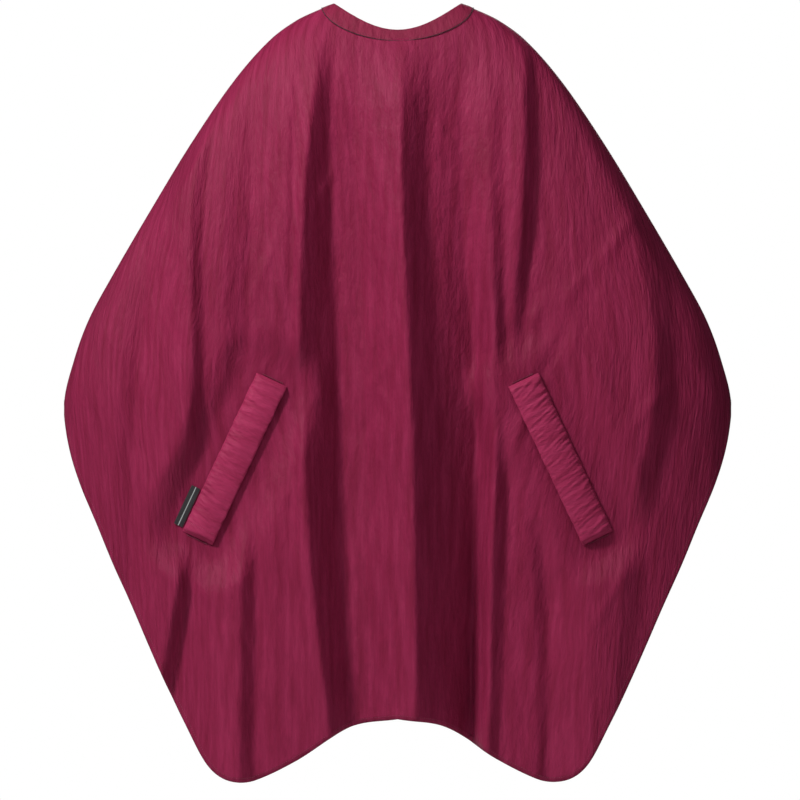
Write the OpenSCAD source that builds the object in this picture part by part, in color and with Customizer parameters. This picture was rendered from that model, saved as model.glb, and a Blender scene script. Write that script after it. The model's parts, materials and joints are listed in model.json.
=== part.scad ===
// Barber cape: a wide cloth cape that hangs from the neck and covers the body to the knees.
// The cape stands upright as it is worn. The origin is the centre of the neck opening at the
// level of its sides, +Z is up and the front faces -Y. All sizes are in millimetres.

/* [Neck] */
// Width of the neck opening from side to side
neck_w = 190; // [180:5:205]
// Depth of the neck opening from its centre to the throat
throat_y = 48; // [44:1:54]
// Depth of the neck opening from its centre to the nape
nape_y = 45; // [42:1:50]
// How far the throat of the neckline hangs below its sides
neck_drop = 40; // [34:1:46]
// How far the nape of the neckline hangs below its sides
nape_drop = 46; // [38:1:50]
// Width of the neckband
band_w = 16.5; // [15:0.5:18]
// Thickness of the neckband
band_t = 2.4; // [2:0.2:2.8]

/* [Cape] */
// Widest width of the hanging cape, at the elbows
cape_w = 1000; // [960:10:1040]
// Height of the elbows below the neck
elbow_drop = 600; // [580:10:620]
// Height of the two lowest lobes of the front hem below the neck
lobe_drop = 1164; // [1130:2:1180]
// Height of the middle of the front hem below the neck
arch_drop = 1070; // [1050:2:1090]
// Height of the back hem below the neck
back_drop = 590; // [570:5:600]
// Thickness of the cloth shell
cloth_t = 2; // [1.6:0.2:2.2]
// Height of the hanging folds, as a share of their usual height
fold_gain = 1; // [0.6:0.1:1.2]

/* [Back opening] */
// Width of the gap between the two back edges
back_gap = 10; // [8:1:14]
// Gap that each back panel keeps to the line it folds along
fold_gap = 2; // [1.8:0.1:2.2]

/* [Hand slots] */
// Distance from the middle of the cape to the middle of a welt
welt_x = 243; // [230:1:250]
// Height of the middle of a welt below the neck
welt_drop = 682; // [660:2:700]
// Length of a welt
welt_len = 261; // [240:1:270]
// Width of a welt
welt_w = 50; // [48:1:54]
// Lean of a welt from upright, in degrees
welt_lean = 25.2; // [20:0.2:30]
// Length of the slot under a welt
slot_len = 210; // [190:1:214]
// Width of the slot under a welt
slot_w = 26; // [22:1:28]

/* [Label] */
// Length of the side label
label_len = 63; // [50:1:64]
// Width of the side label outside its seam
label_w = 14; // [12:1:16]
// Distance of the middle of the label below the middle of the welt
label_low = 94; // [80:1:96]

/* [Snaps] */
// Distance between neighbouring snaps
snap_pitch = 22; // [20:1:24]
// Diameter of a snap cap
cap_d = 12; // [11:0.5:13]
// Diameter of a stud or socket flange
flange_d = 10; // [9:0.5:10.5]
// Diameter of a stud post
post_d = 4.2; // [3.8:0.1:4.6]
// Diameter of the hollow in a socket
socket_d = 7.4; // [7:0.1:7.8]

/* [Hidden] */

// Colours
maroon = [0.47, 0.11, 0.23];
deep_maroon = [0.36, 0.08, 0.17];
elastic_white = [0.86, 0.84, 0.80];
label_black = [0.05, 0.05, 0.06];
snap_maroon = [0.30, 0.07, 0.14];
interfacing_white = [0.90, 0.90, 0.88];

// Outline of the hanging cape: share of the elbow drop, share of the growth in half width
OUTLINE = [
    [0, 0], [0.01, 0.04], [0.04, 0.136], [0.09, 0.237], [0.19, 0.368], [0.34, 0.521],
    [0.49, 0.657], [0.69, 0.83], [0.79, 0.909], [0.89, 0.963], [1, 1], [2, 1.04]
];
// Depth of the front below the neck: distance below the neckline, depth beyond the throat
FRONT_DEPTH = [[0, 0], [40, 18], [120, 40], [400, 60], [1200, 76]];
// Roundness of the front's cross-section: 1 is an ellipse, and less is flatter with rounder sides
front_round = 0.7;
// Front hem: angle from the middle of the front, share of the way from elbow to lobe
HEM = [
    [0, 0.833], [8, 0.855], [17, 0.942], [24, 0.993], [27.5, 1], [31, 0.985], [34, 0.945],
    [38, 0.85], [50, 0.56], [57, 0.42], [63, 0.312], [70, 0.215], [76, 0.14], [80, 0.092],
    [84, 0.048], [90, 0]
];
// Hanging folds of the front: distance from the middle, height of a ridge or a valley
FOLDS = [
    [-500, 0], [-440, 5], [-390, 1], [-312, 17], [-292, 7], [-245, 12], [-218, 3], [-140, 10],
    [-86, -12], [-50, -11], [20, 15], [60, -15], [118, -12], [145, 0], [164, -9], [210, -5],
    [225, -9], [272, 4], [360, 11], [400, 4], [500, 0]
];
// Where the fold line of a back panel leaves the neck and meets the hem, on the right side
fold_top = [70, 30.4];
fold_end = [330, 110];
fold_end_drop = 570;
// How far the nape surface stands out at the level of the hem, and how late it does so
nape_flare = 90;
nape_flare_power = 1.2;
// Share of the band's width that is lost in height where it lies on the shoulder
shoulder_lie = 0.6;
// The front hem's arch: how far round it reaches, and its usual height below the neck
arch_reach = 0.31;
arch_usual = 1070;
// How far round the back the hem takes to climb to its own height
back_hem_reach = 1.2;
// Lean of the side surface where it leaves the outline
side_lean = 0.55;
// Folds: drops at which those of the front and back are full, and their growth below the chest
fold_start = 380;
back_fold_start = 300;
fold_growth = 0.2;
fold_growth_drop = 400;
fold_growth_reach = 600;
// Share of the half width over which the folds fade towards the outline
fold_edge = 0.14;
// Folds of a back panel: height and number of waves
back_fold_height = 7;
back_fold_waves = 1.5;
// Welt: height of its under layer at the seam, over the slot and at the free edge
welt_seam_rise = 1.9;
welt_mid_rise = 8.2;
welt_free_rise = 4.5;
welt_arch_power = 0.8;
welt_layer_t = 1;
welt_layer_gap = 2.6;
// Gap between the welt's layers where the seam shuts them
welt_seam_gap = 1.3;
// Places across the under layer, as shares of half the welt's width
WELT_OUTS = [0.62, 0.2, -0.3];
// The cloth lies flat this far round a welt, and its folds come back over the next stretch
welt_clear = 24;
welt_fade = 55;
// Elastic inside a welt: its sides and half length as shares of the welt, and its thickness
elastic_in = -0.3;
elastic_out = 0.24;
elastic_half = 0.47;
elastic_t = 0.6;
// Slot facing: margins past the slot, thickness and gap behind the cloth
facing_end = 11;
facing_edge = 9;
facing_t = 1;
facing_gap = 0.3;
// Bar tacks: where they start and end past the welt, half width as a share, and thickness
tack_start = 1.2;
tack_end = 3.4;
tack_half = 0.32;
tack_t = 0.9;
tack_gap = 0.4;
// Label: gap from the welt, thickness and gap over the cloth
label_seam = 2.4;
label_t = 0.8;
label_gap = 1;
// Columns and rows of the cloth grids
FRONT_COLS = 10;
SLOT_COLS = 11;
OUTLINE_COLS = 15;
SIDE_COLS = 6;
BODY_ROWS = 32;
BACK_COLS = 12;
BACK_ROWS = 22;
STRIP_ROWS = 14;
BAND_ROWS = 2;
TAB_COLS = 16;
ELASTIC_COLS = 4;
// Crowding of the cloth's rows towards the neck
ROW_POWER = 1.15;
// Where the front, slot and side panels of the cape meet, and the gap kept there
front_end = 0.15;
slot_end = 0.5;
panel_gap = 0.0006;
// The back panels begin just past the fold line
back_start = 2.0005;
// Gap between the neckband and the cloth below it
band_gap = 0.3;
// Neck tab: where it hinges and ends, and how far it stands off the right band
tab_hinge_x = -6;
tab_edge_gap = 1.7;
tab_end_x = 64;
tab_rise = 6.3;
tab_rise_reach = 12;
// Hollow between the tab's layers, and the interfacing in it: margins and thicknesses
tab_hollow_end = 3;
tab_hollow_edge = 2.5;
tab_hollow_t = 1;
interfacing_margin = 1;
interfacing_t = 0.5;
// Snaps: height on the band, first place on the right band, and thicknesses
snap_drop = 8;
stud_x = 20;
flange_t = 0.8;
post_len = 1.8;
prong_d = 1.6;
prong_hole_d = 1.9;
prong_tip = 0.4;
cap_t = 1.4;
cap_slope = 1.2;
socket_wall = 0.4;
SEAT = 0.3;
FINE = 48;

// ---- Curves ----

function lerp(a, b, t) = a + (b - a) * t;
function clamp01(t) = max(0, min(1, t));
function ease(t) = let (u = clamp01(t)) u * u * (3 - 2 * u);

// The stretch of a curve's list that holds x
function stretch(list, x, i = 0) =
    i >= len(list) - 2 || x < list[i + 1][0] ? i : stretch(list, x, i + 1);

// The slope of a curve at its point i
function slope(list, i) =
    let (a = list[max(0, i - 1)], b = list[min(len(list) - 1, i + 1)])
    (b[1] - a[1]) / (b[0] - a[0]);

// A smooth curve through the points of a list
function curve(list, x) =
    let (
        i = stretch(list, x),
        a = list[i],
        b = list[i + 1],
        h = b[0] - a[0],
        t = clamp01((x - a[0]) / h)
    )
    a[1] * (2 * t ^ 3 - 3 * t ^ 2 + 1) + slope(list, i) * h * (t ^ 3 - 2 * t ^ 2 + t)
    + b[1] * (3 * t ^ 2 - 2 * t ^ 3) + slope(list, i + 1) * h * (t ^ 3 - t ^ 2);

// ---- The hanging surface ----

// Half width of the cape at a distance s below the neckline
function half_w(s) = lerp(neck_w / 2, cape_w / 2, curve(OUTLINE, s / elbow_drop));
// Depth of the front at a distance s below the neckline
function front_depth(s) = throat_y + curve(FRONT_DEPTH, s);
// Depth of the middle of the back
function nape_depth(s) = nape_y + nape_flare * (s / fold_end_drop) ^ nape_flare_power;
// The fold line of a back panel, as [x, y]
function fold_line(s) = lerp(fold_top, fold_end, s / fold_end_drop);

// Height of the back neckline at a distance x from the middle
function nape_z(x) = -nape_drop * cos(180 * x / neck_w);

// Height of the neckline. c runs round the cape: 0 is the middle of the front, 1 the outline,
// 2 the fold line of the back panel and 3 the edge of the back opening.
function neck_z(c) =
    abs(c) <= 1 ? -neck_drop * cos(90 * sin(90 * abs(c)))
    : abs(c) <= 2 ? nape_z(side_xy(c, 0)[0])
    : nape_z(back_x(c, 0));

// Height of the hem
function hem_z(c) =
    abs(c) <= 1 ? -lerp(elbow_drop, lobe_drop, curve(HEM, 90 * abs(c)))
    * lerp(arch_drop / arch_usual, 1, clamp01(abs(c) / arch_reach))
    : -lerp(elbow_drop, back_drop, ease((abs(c) - 1) / back_hem_reach));

// Height of the neckband, measured down the surface as height lost
function band_drop(c) =
    band_w * (1 - (abs(c) >= 2 ? 0 : shoulder_lie * abs(sin(90 * c)) ^ 4));

// Zero over and close to a welt, growing to 1 away from it
function off_welt(x, z) =
    let (
        u = abs(x) - welt_x,
        w = -z - welt_drop,
        along = u * sin(welt_lean) + w * cos(welt_lean),
        across = u * cos(welt_lean) - w * sin(welt_lean),
        d = norm([max(0, abs(along) - welt_len / 2), max(0, abs(across) - welt_w / 2)])
    )
    ease((d - welt_clear) / welt_fade);

// Height of the folds of the front at a place on it
function fold(x, z, s) =
    fold_gain * curve(FOLDS, x) * ease(s / fold_start)
    * (1 + fold_growth * ease((s - fold_growth_drop) / fold_growth_reach))
    * ease((1 - abs(x) / half_w(s)) / fold_edge) * off_welt(x, z);

// Folds of the back, between the fold line and the back edge. They fade on both.
function back_fold(v, s) =
    fold_gain * back_fold_height * sin(360 * back_fold_waves * v) * sin(180 * v)
    * ease(s / back_fold_start);

function front_point(c, s) =
    let (x = half_w(s) * sin(90 * c), z = neck_z(c) - s)
    [x, -front_depth(s) * cos(90 * c) ^ front_round - fold(x, z, s), z];

// From the outline to the fold line: one cubic curve that leaves the outline straight back
function side_xy(c, s) =
    let (
        a = half_w(s),
        l = fold_line(s),
        reach = (a - l[0]) / 3,
        fall = 2 * (nape_depth(s) - l[1]) / l[0],
        p0 = [a, 0],
        p1 = [a, side_lean * l[1]],
        p2 = [l[0] + reach, l[1] - fall * reach],
        v = (abs(c) - 1) * (1 - fold_gap / (a - l[0])),
        w = 1 - v
    )
    w ^ 3 * p0 + 3 * w ^ 2 * v * p1 + 3 * w * v ^ 2 * p2 + v ^ 3 * l;
function side_point(c, s) =
    let (p = side_xy(c, s)) [sign(c) * p[0], p[1], neck_z(c) - s];

// From the fold line to the back edge
function back_x(c, s) = lerp(fold_line(s)[0] - fold_gap, back_gap / 2, abs(c) - 2);
function back_y(x, s) =
    let (l = fold_line(s)) nape_depth(s) - (nape_depth(s) - l[1]) * (x / l[0]) ^ 2;
function back_point(c, s) =
    let (x = back_x(c, s))
    [sign(c) * x, back_y(x, s) + back_fold(abs(c) - 2, s), neck_z(c) - s];

// A point of the cape, s below the neckline
function cape_point(c, s) =
    abs(c) <= 1 ? front_point(c, s) : abs(c) <= 2 ? side_point(c, s) : back_point(c, s);

// ---- Thin shells ----

function unit(v) = v / norm(v);

// The outward direction of a grid at its place i, j
function grid_normal(g, i, j) =
    let (
        i0 = max(0, i - 1), i1 = min(len(g) - 1, i + 1),
        j0 = max(0, j - 1), j1 = min(len(g[0]) - 1, j + 1)
    )
    unit(cross(g[i][j1] - g[i][j0], g[i1][j] - g[i0][j]));

// A closed shell of thickness t about a grid of points
module shell(g, t) {
    n = len(g);
    m = len(g[0]);
    over = [for (i = [0 : n - 1], j = [0 : m - 1]) g[i][j] - grid_normal(g, i, j) * t / 2];
    under = [for (i = [0 : n - 1], j = [0 : m - 1]) g[i][j] + grid_normal(g, i, j) * t / 2];
    rim = concat(
        [for (j = [0 : m - 1]) j],
        [for (i = [1 : n - 1]) i * m + m - 1],
        [for (j = [1 : m - 1]) (n - 1) * m + m - 1 - j],
        [for (i = [1 : n - 2]) (n - 1 - i) * m]
    );
    k = n * m;
    faces = concat(
        [for (i = [0 : n - 2], j = [0 : m - 2]) each
            [[i * m + j, i * m + j + 1, (i + 1) * m + j],
             [i * m + j + 1, (i + 1) * m + j + 1, (i + 1) * m + j]]],
        [for (i = [0 : n - 2], j = [0 : m - 2]) each
            [[k + i * m + j, k + (i + 1) * m + j, k + i * m + j + 1],
             [k + i * m + j + 1, k + (i + 1) * m + j, k + (i + 1) * m + j + 1]]],
        [for (e = [0 : len(rim) - 1])
            let (a = rim[e], b = rim[(e + 1) % len(rim)]) each
            [[b, a, k + b], [a, k + a, k + b]]]
    );
    polyhedron(points = concat(over, under), faces = faces, convexity = 12);
}

// Places round the cape, cols steps from c0 to c1
function places(c0, c1, cols) = [for (j = [0 : cols]) lerp(c0, c1, j / cols)];

// A stretch of the cape from the band to the hem
module cape_shell(cs, rows) {
    shell([for (i = [0 : rows])
        [for (c = cs)
            let (top = band_drop(c) + band_gap, low = neck_z(c) - hem_z(c))
            cape_point(c, lerp(top, low, (i / rows) ^ ROW_POWER))]], cloth_t);
}

// A stretch of the neckband
module band_shell(cs) {
    shell([for (i = [0 : BAND_ROWS])
        [for (c = cs) cape_point(c, band_drop(c) * i / BAND_ROWS)]], band_t);
}

// Places from the slot panel's outer edge round to the right fold line
function side_places() = concat(
    places(slot_end + panel_gap, 1, OUTLINE_COLS),
    [for (j = [1 : SIDE_COLS]) 1 + j / SIDE_COLS]
);
// The same places on the left side, in their order from left to right
function to_left(cs) = [for (j = [len(cs) - 1 : -1 : 0]) -cs[j]];

// ---- Places on and about a welt ----

// Distance below the neckline of a place on the front, and its depth there
function front_s(x, z, n = 5, s = 600) =
    n == 0 ? s
    : let (c = asin(min(1, abs(x) / half_w(s))) / 90) front_s(x, z, n - 1, neck_z(c) - z);
function front_y(x, z) =
    let (s = front_s(x, z), q = min(1, abs(x) / half_w(s)))
    -front_depth(s) * (1 - q ^ 2) ^ (front_round / 2);

// A point over the front: along the welt, out from its middle line, and above the cloth
function welt_point(side, along, out, rise) =
    let (
        x = side * (welt_x + along * sin(welt_lean) + out * cos(welt_lean)),
        z = -welt_drop - along * cos(welt_lean) + out * sin(welt_lean)
    )
    [x, front_y(x, z) - rise, z];

// Height of the welt's under layer over the cloth, from its seam to its free edge
function welt_rise(out) =
    let (t = clamp01(0.5 - out / welt_w))
    lerp(welt_seam_rise, welt_free_rise, t)
    + (welt_mid_rise - lerp(welt_seam_rise, welt_free_rise, 0.5)) * sin(180 * t) ^ welt_arch_power;

// Path across the folded welt: under layer, fold at the free edge, top layer, as [out, rise]
function welt_path(side) =
    let (w = welt_w / 2, r = welt_layer_gap / 2, outs = concat([w], w * WELT_OUTS, [-w + 2 * r]))
    concat(
        [for (o = outs) [o, welt_rise(o)]],
        [for (a = [-60 : 60 : 60]) [-w + r - r * cos(a), welt_rise(-w + 2 * r) + r + r * sin(a)]],
        [for (k = [len(outs) - 1 : -1 : 0])
            [outs[k], welt_rise(outs[k]) + (k == 0 ? welt_seam_gap : welt_layer_gap)]]
    );

// A flat strip over the front: a0..a1 along the welt and o0..o1 out from its middle line
module strip(side, a0, a1, o0, o1, t, rise, cols = 3) {
    shell([for (i = [0 : STRIP_ROWS])
        let (a = lerp(a0, a1, i / STRIP_ROWS))
        [for (j = [0 : cols])
            let (o = side < 0 ? lerp(o1, o0, j / cols) : lerp(o0, o1, j / cols))
            welt_point(side, a, o, rise)]], t);
}

// The slot through the cloth and its facing
module slot_cutter(side) {
    translate([side * welt_x, 0, -welt_drop])
        rotate([0, side * -welt_lean, 0])
            cube([slot_w, cape_w / 2, slot_len], center = true);
}

// ---- Cloth ----

module cape_front() {
    color(maroon)
        cape_shell(places(-front_end + panel_gap, front_end - panel_gap, FRONT_COLS), BODY_ROWS);
}

// A panel with its hand slot
module slot_panel(side) {
    cs = places(front_end + panel_gap, slot_end - panel_gap, SLOT_COLS);
    color(maroon)
        difference() {
            cape_shell(side < 0 ? to_left(cs) : cs, BODY_ROWS);
            slot_cutter(side);
        }
}

module left_slot_panel() { slot_panel(-1); }
module right_slot_panel() { slot_panel(1); }

module left_side_panel() {
    color(maroon) cape_shell(to_left(side_places()), BODY_ROWS);
}

module right_side_panel() {
    color(maroon) cape_shell(side_places(), BODY_ROWS);
}

BACK_PLACES = places(back_start, 3, BACK_COLS);

module left_back_panel() {
    color(maroon) cape_shell(to_left(BACK_PLACES), BACK_ROWS);
}

module right_back_panel() {
    color(maroon) cape_shell(BACK_PLACES, BACK_ROWS);
}

module neckband_front() {
    half = concat(
        places(0, slot_end, FRONT_COLS / 2 + SLOT_COLS),
        side_places()
    );
    color(deep_maroon)
        band_shell(concat(to_left(half), [for (j = [1 : len(half) - 1]) half[j]]));
}

module neckband_left() {
    color(deep_maroon) band_shell(to_left(BACK_PLACES));
}

// ---- Snaps on the nape ----

// Turn of the band about the upright at a distance x from the middle of the back, and the
// tilt of its outer face
function nape_at(x, z) = back_y(x, nape_z(x) - z);
function nape_turn(x) =
    let (z = nape_z(x) - snap_drop) atan((nape_at(x - 1, z) - nape_at(x + 1, z)) / 2);
function nape_tilt(x) =
    let (z = nape_z(x) - snap_drop)
    atan(cos(nape_turn(x)) * (nape_at(x, z - 1) - nape_at(x, z + 1)) / 2);

// Places its children on the band, rise above its middle surface, facing out
module on_nape(x, rise) {
    translate([x, back_y(x, snap_drop), nape_z(x) - snap_drop])
        rotate([0, 0, -nape_turn(x)])
            rotate([nape_tilt(x) - 90, 0, 0])
                translate([0, 0, rise])
                    children();
}

SNAP_XS = [stud_x, stud_x + snap_pitch];

module neckband_right() {
    color(deep_maroon)
        difference() {
            band_shell(BACK_PLACES);
            for (x = SNAP_XS)
                on_nape(x, -band_t)
                    cylinder(d = prong_hole_d, h = 2 * band_t, $fn = FINE);
        }
}

module snap_studs() {
    color(snap_maroon)
        for (x = SNAP_XS)
            on_nape(x, band_t / 2 + SEAT)
                difference() {
                    union() {
                        cylinder(d = flange_d, h = flange_t, $fn = FINE);
                        cylinder(d = post_d, h = flange_t + post_len, $fn = FINE);
                    }
                    translate([0, 0, -1])
                        cylinder(d = prong_hole_d, h = flange_t + post_len, $fn = FINE);
                }
}

module stud_backs() {
    color(snap_maroon)
        for (x = SNAP_XS)
            on_nape(x, -band_t / 2 - SEAT - flange_t) {
                cylinder(d = cap_d, h = flange_t, $fn = FINE);
                cylinder(d = prong_d, h = 2 * flange_t + 2 * SEAT + band_t, $fn = FINE);
            }
}

// ---- Neck tab ----

// The tab's middle surface: it leaves the left band's end and lies over the right band
function tab_point(x, s) =
    [
        x,
        back_y(x, s) + tab_rise * ease((x - tab_hinge_x - tab_edge_gap) / tab_rise_reach),
        nape_z(x) - s
    ];

module tab_shell(x0, x1, s0, s1, t) {
    shell([for (i = [0 : BAND_ROWS])
        [for (j = [0 : TAB_COLS])
            tab_point(lerp(x1, x0, j / TAB_COLS), lerp(s0, s1, i / BAND_ROWS))]], t);
}

module tab_holes(h) {
    for (x = SNAP_XS)
        on_nape(x, tab_rise - h / 2)
            cylinder(d = prong_hole_d, h = h, $fn = FINE);
}

module neck_tab() {
    color(deep_maroon)
        difference() {
            tab_shell(tab_hinge_x + tab_edge_gap, tab_end_x, 0, band_w, band_t);
            tab_shell(tab_hinge_x + tab_edge_gap + tab_hollow_end, tab_end_x - tab_hollow_end,
                tab_hollow_edge, band_w - tab_hollow_edge, tab_hollow_t);
            tab_holes(3 * band_t);
        }
}

module tab_interfacing() {
    end = tab_hollow_end + interfacing_margin;
    edge = tab_hollow_edge + interfacing_margin;
    color(interfacing_white)
        difference() {
            tab_shell(tab_hinge_x + tab_edge_gap + end, tab_end_x - end, edge, band_w - edge,
                interfacing_t);
            tab_holes(3 * band_t);
        }
}

module snap_caps() {
    color(snap_maroon)
        for (x = SNAP_XS)
            on_nape(x, tab_rise + band_t / 2 + SEAT)
                union() {
                    cylinder(d1 = cap_d, d2 = cap_d - 2 * cap_slope, h = cap_t, $fn = FINE);
                    translate([0, 0, -band_t - 2 * SEAT - prong_tip])
                        cylinder(d = prong_d, h = band_t + 2 * SEAT + 2 * prong_tip, $fn = FINE);
                }
}

module snap_sockets() {
    color(snap_maroon)
        for (x = SNAP_XS)
            on_nape(x, tab_rise - band_t / 2 - SEAT - post_len)
                difference() {
                    cylinder(d = flange_d, h = post_len, $fn = FINE);
                    translate([0, 0, -socket_wall])
                        cylinder(d = socket_d, h = post_len, $fn = FINE);
                    cylinder(d = prong_hole_d, h = 2 * post_len, $fn = FINE);
                }
}

// ---- Hand slots ----

module slot_facing(side) {
    color(deep_maroon)
        difference() {
            strip(side, -slot_len / 2 - facing_end, slot_len / 2 + facing_end,
                -slot_w / 2 - facing_edge, slot_w / 2 + facing_edge,
                facing_t, -(cloth_t + facing_t) / 2 - facing_gap, 5);
            slot_cutter(side);
        }
}

module left_slot_facing() { slot_facing(-1); }
module right_slot_facing() { slot_facing(1); }

// A bar of close stitches past each end of the welt
module welt_tacks(side) {
    color(deep_maroon)
        for (end = [-1, 1])
            strip(side, end * (welt_len / 2 + tack_start), end * (welt_len / 2 + tack_end),
                -tack_half * welt_w * end, tack_half * welt_w * end,
                tack_t, (cloth_t + tack_t) / 2 + tack_gap);
}

module left_welt_tacks() { welt_tacks(-1); }
module right_welt_tacks() { welt_tacks(1); }

module welt(side) {
    path = welt_path(side);
    color(maroon)
        shell([for (i = [0 : STRIP_ROWS])
            let (a = lerp(-0.5, 0.5, i / STRIP_ROWS) * welt_len)
            [for (j = [0 : len(path) - 1])
                let (p = path[side < 0 ? j : len(path) - 1 - j])
                welt_point(side, a, p[0], p[1])]], welt_layer_t);
}

module left_welt() { welt(-1); }
module right_welt() { welt(1); }

module welt_elastic(side) {
    lows = [elastic_in * welt_w, elastic_out * welt_w];
    ends = side < 0 ? [lows[1], lows[0]] : lows;
    color(elastic_white)
        shell([for (i = [0 : STRIP_ROWS])
            let (a = lerp(-elastic_half, elastic_half, i / STRIP_ROWS) * welt_len)
            [for (j = [0 : ELASTIC_COLS])
                let (o = lerp(ends[0], ends[1], j / ELASTIC_COLS))
                welt_point(side, a, o, welt_rise(o) + welt_layer_gap / 2)]], elastic_t);
}

module left_welt_elastic() { welt_elastic(-1); }
module right_welt_elastic() { welt_elastic(1); }

module side_label() {
    color(label_black)
        strip(-1, label_low - label_len / 2, label_low + label_len / 2,
            welt_w / 2 + label_seam, welt_w / 2 + label_seam + label_w,
            label_t, (cloth_t + label_t) / 2 + label_gap);
}

cape_front();
left_slot_panel();
right_slot_panel();
left_side_panel();
right_side_panel();
neckband_front();
left_slot_facing();
right_slot_facing();
left_welt_tacks();
right_welt_tacks();
left_back_panel();
neckband_left();
right_back_panel();
neckband_right();
snap_studs();
stud_backs();
neck_tab();
tab_interfacing();
snap_caps();
snap_sockets();
left_welt();
left_welt_elastic();
right_welt();
right_welt_elastic();
side_label();
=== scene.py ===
"""A barber cape: one wide sheet of light crinkled cloth that hangs in long folds from a
snap-closed neckband, with two gathered hand welts on its front. All lengths are metres."""

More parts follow.
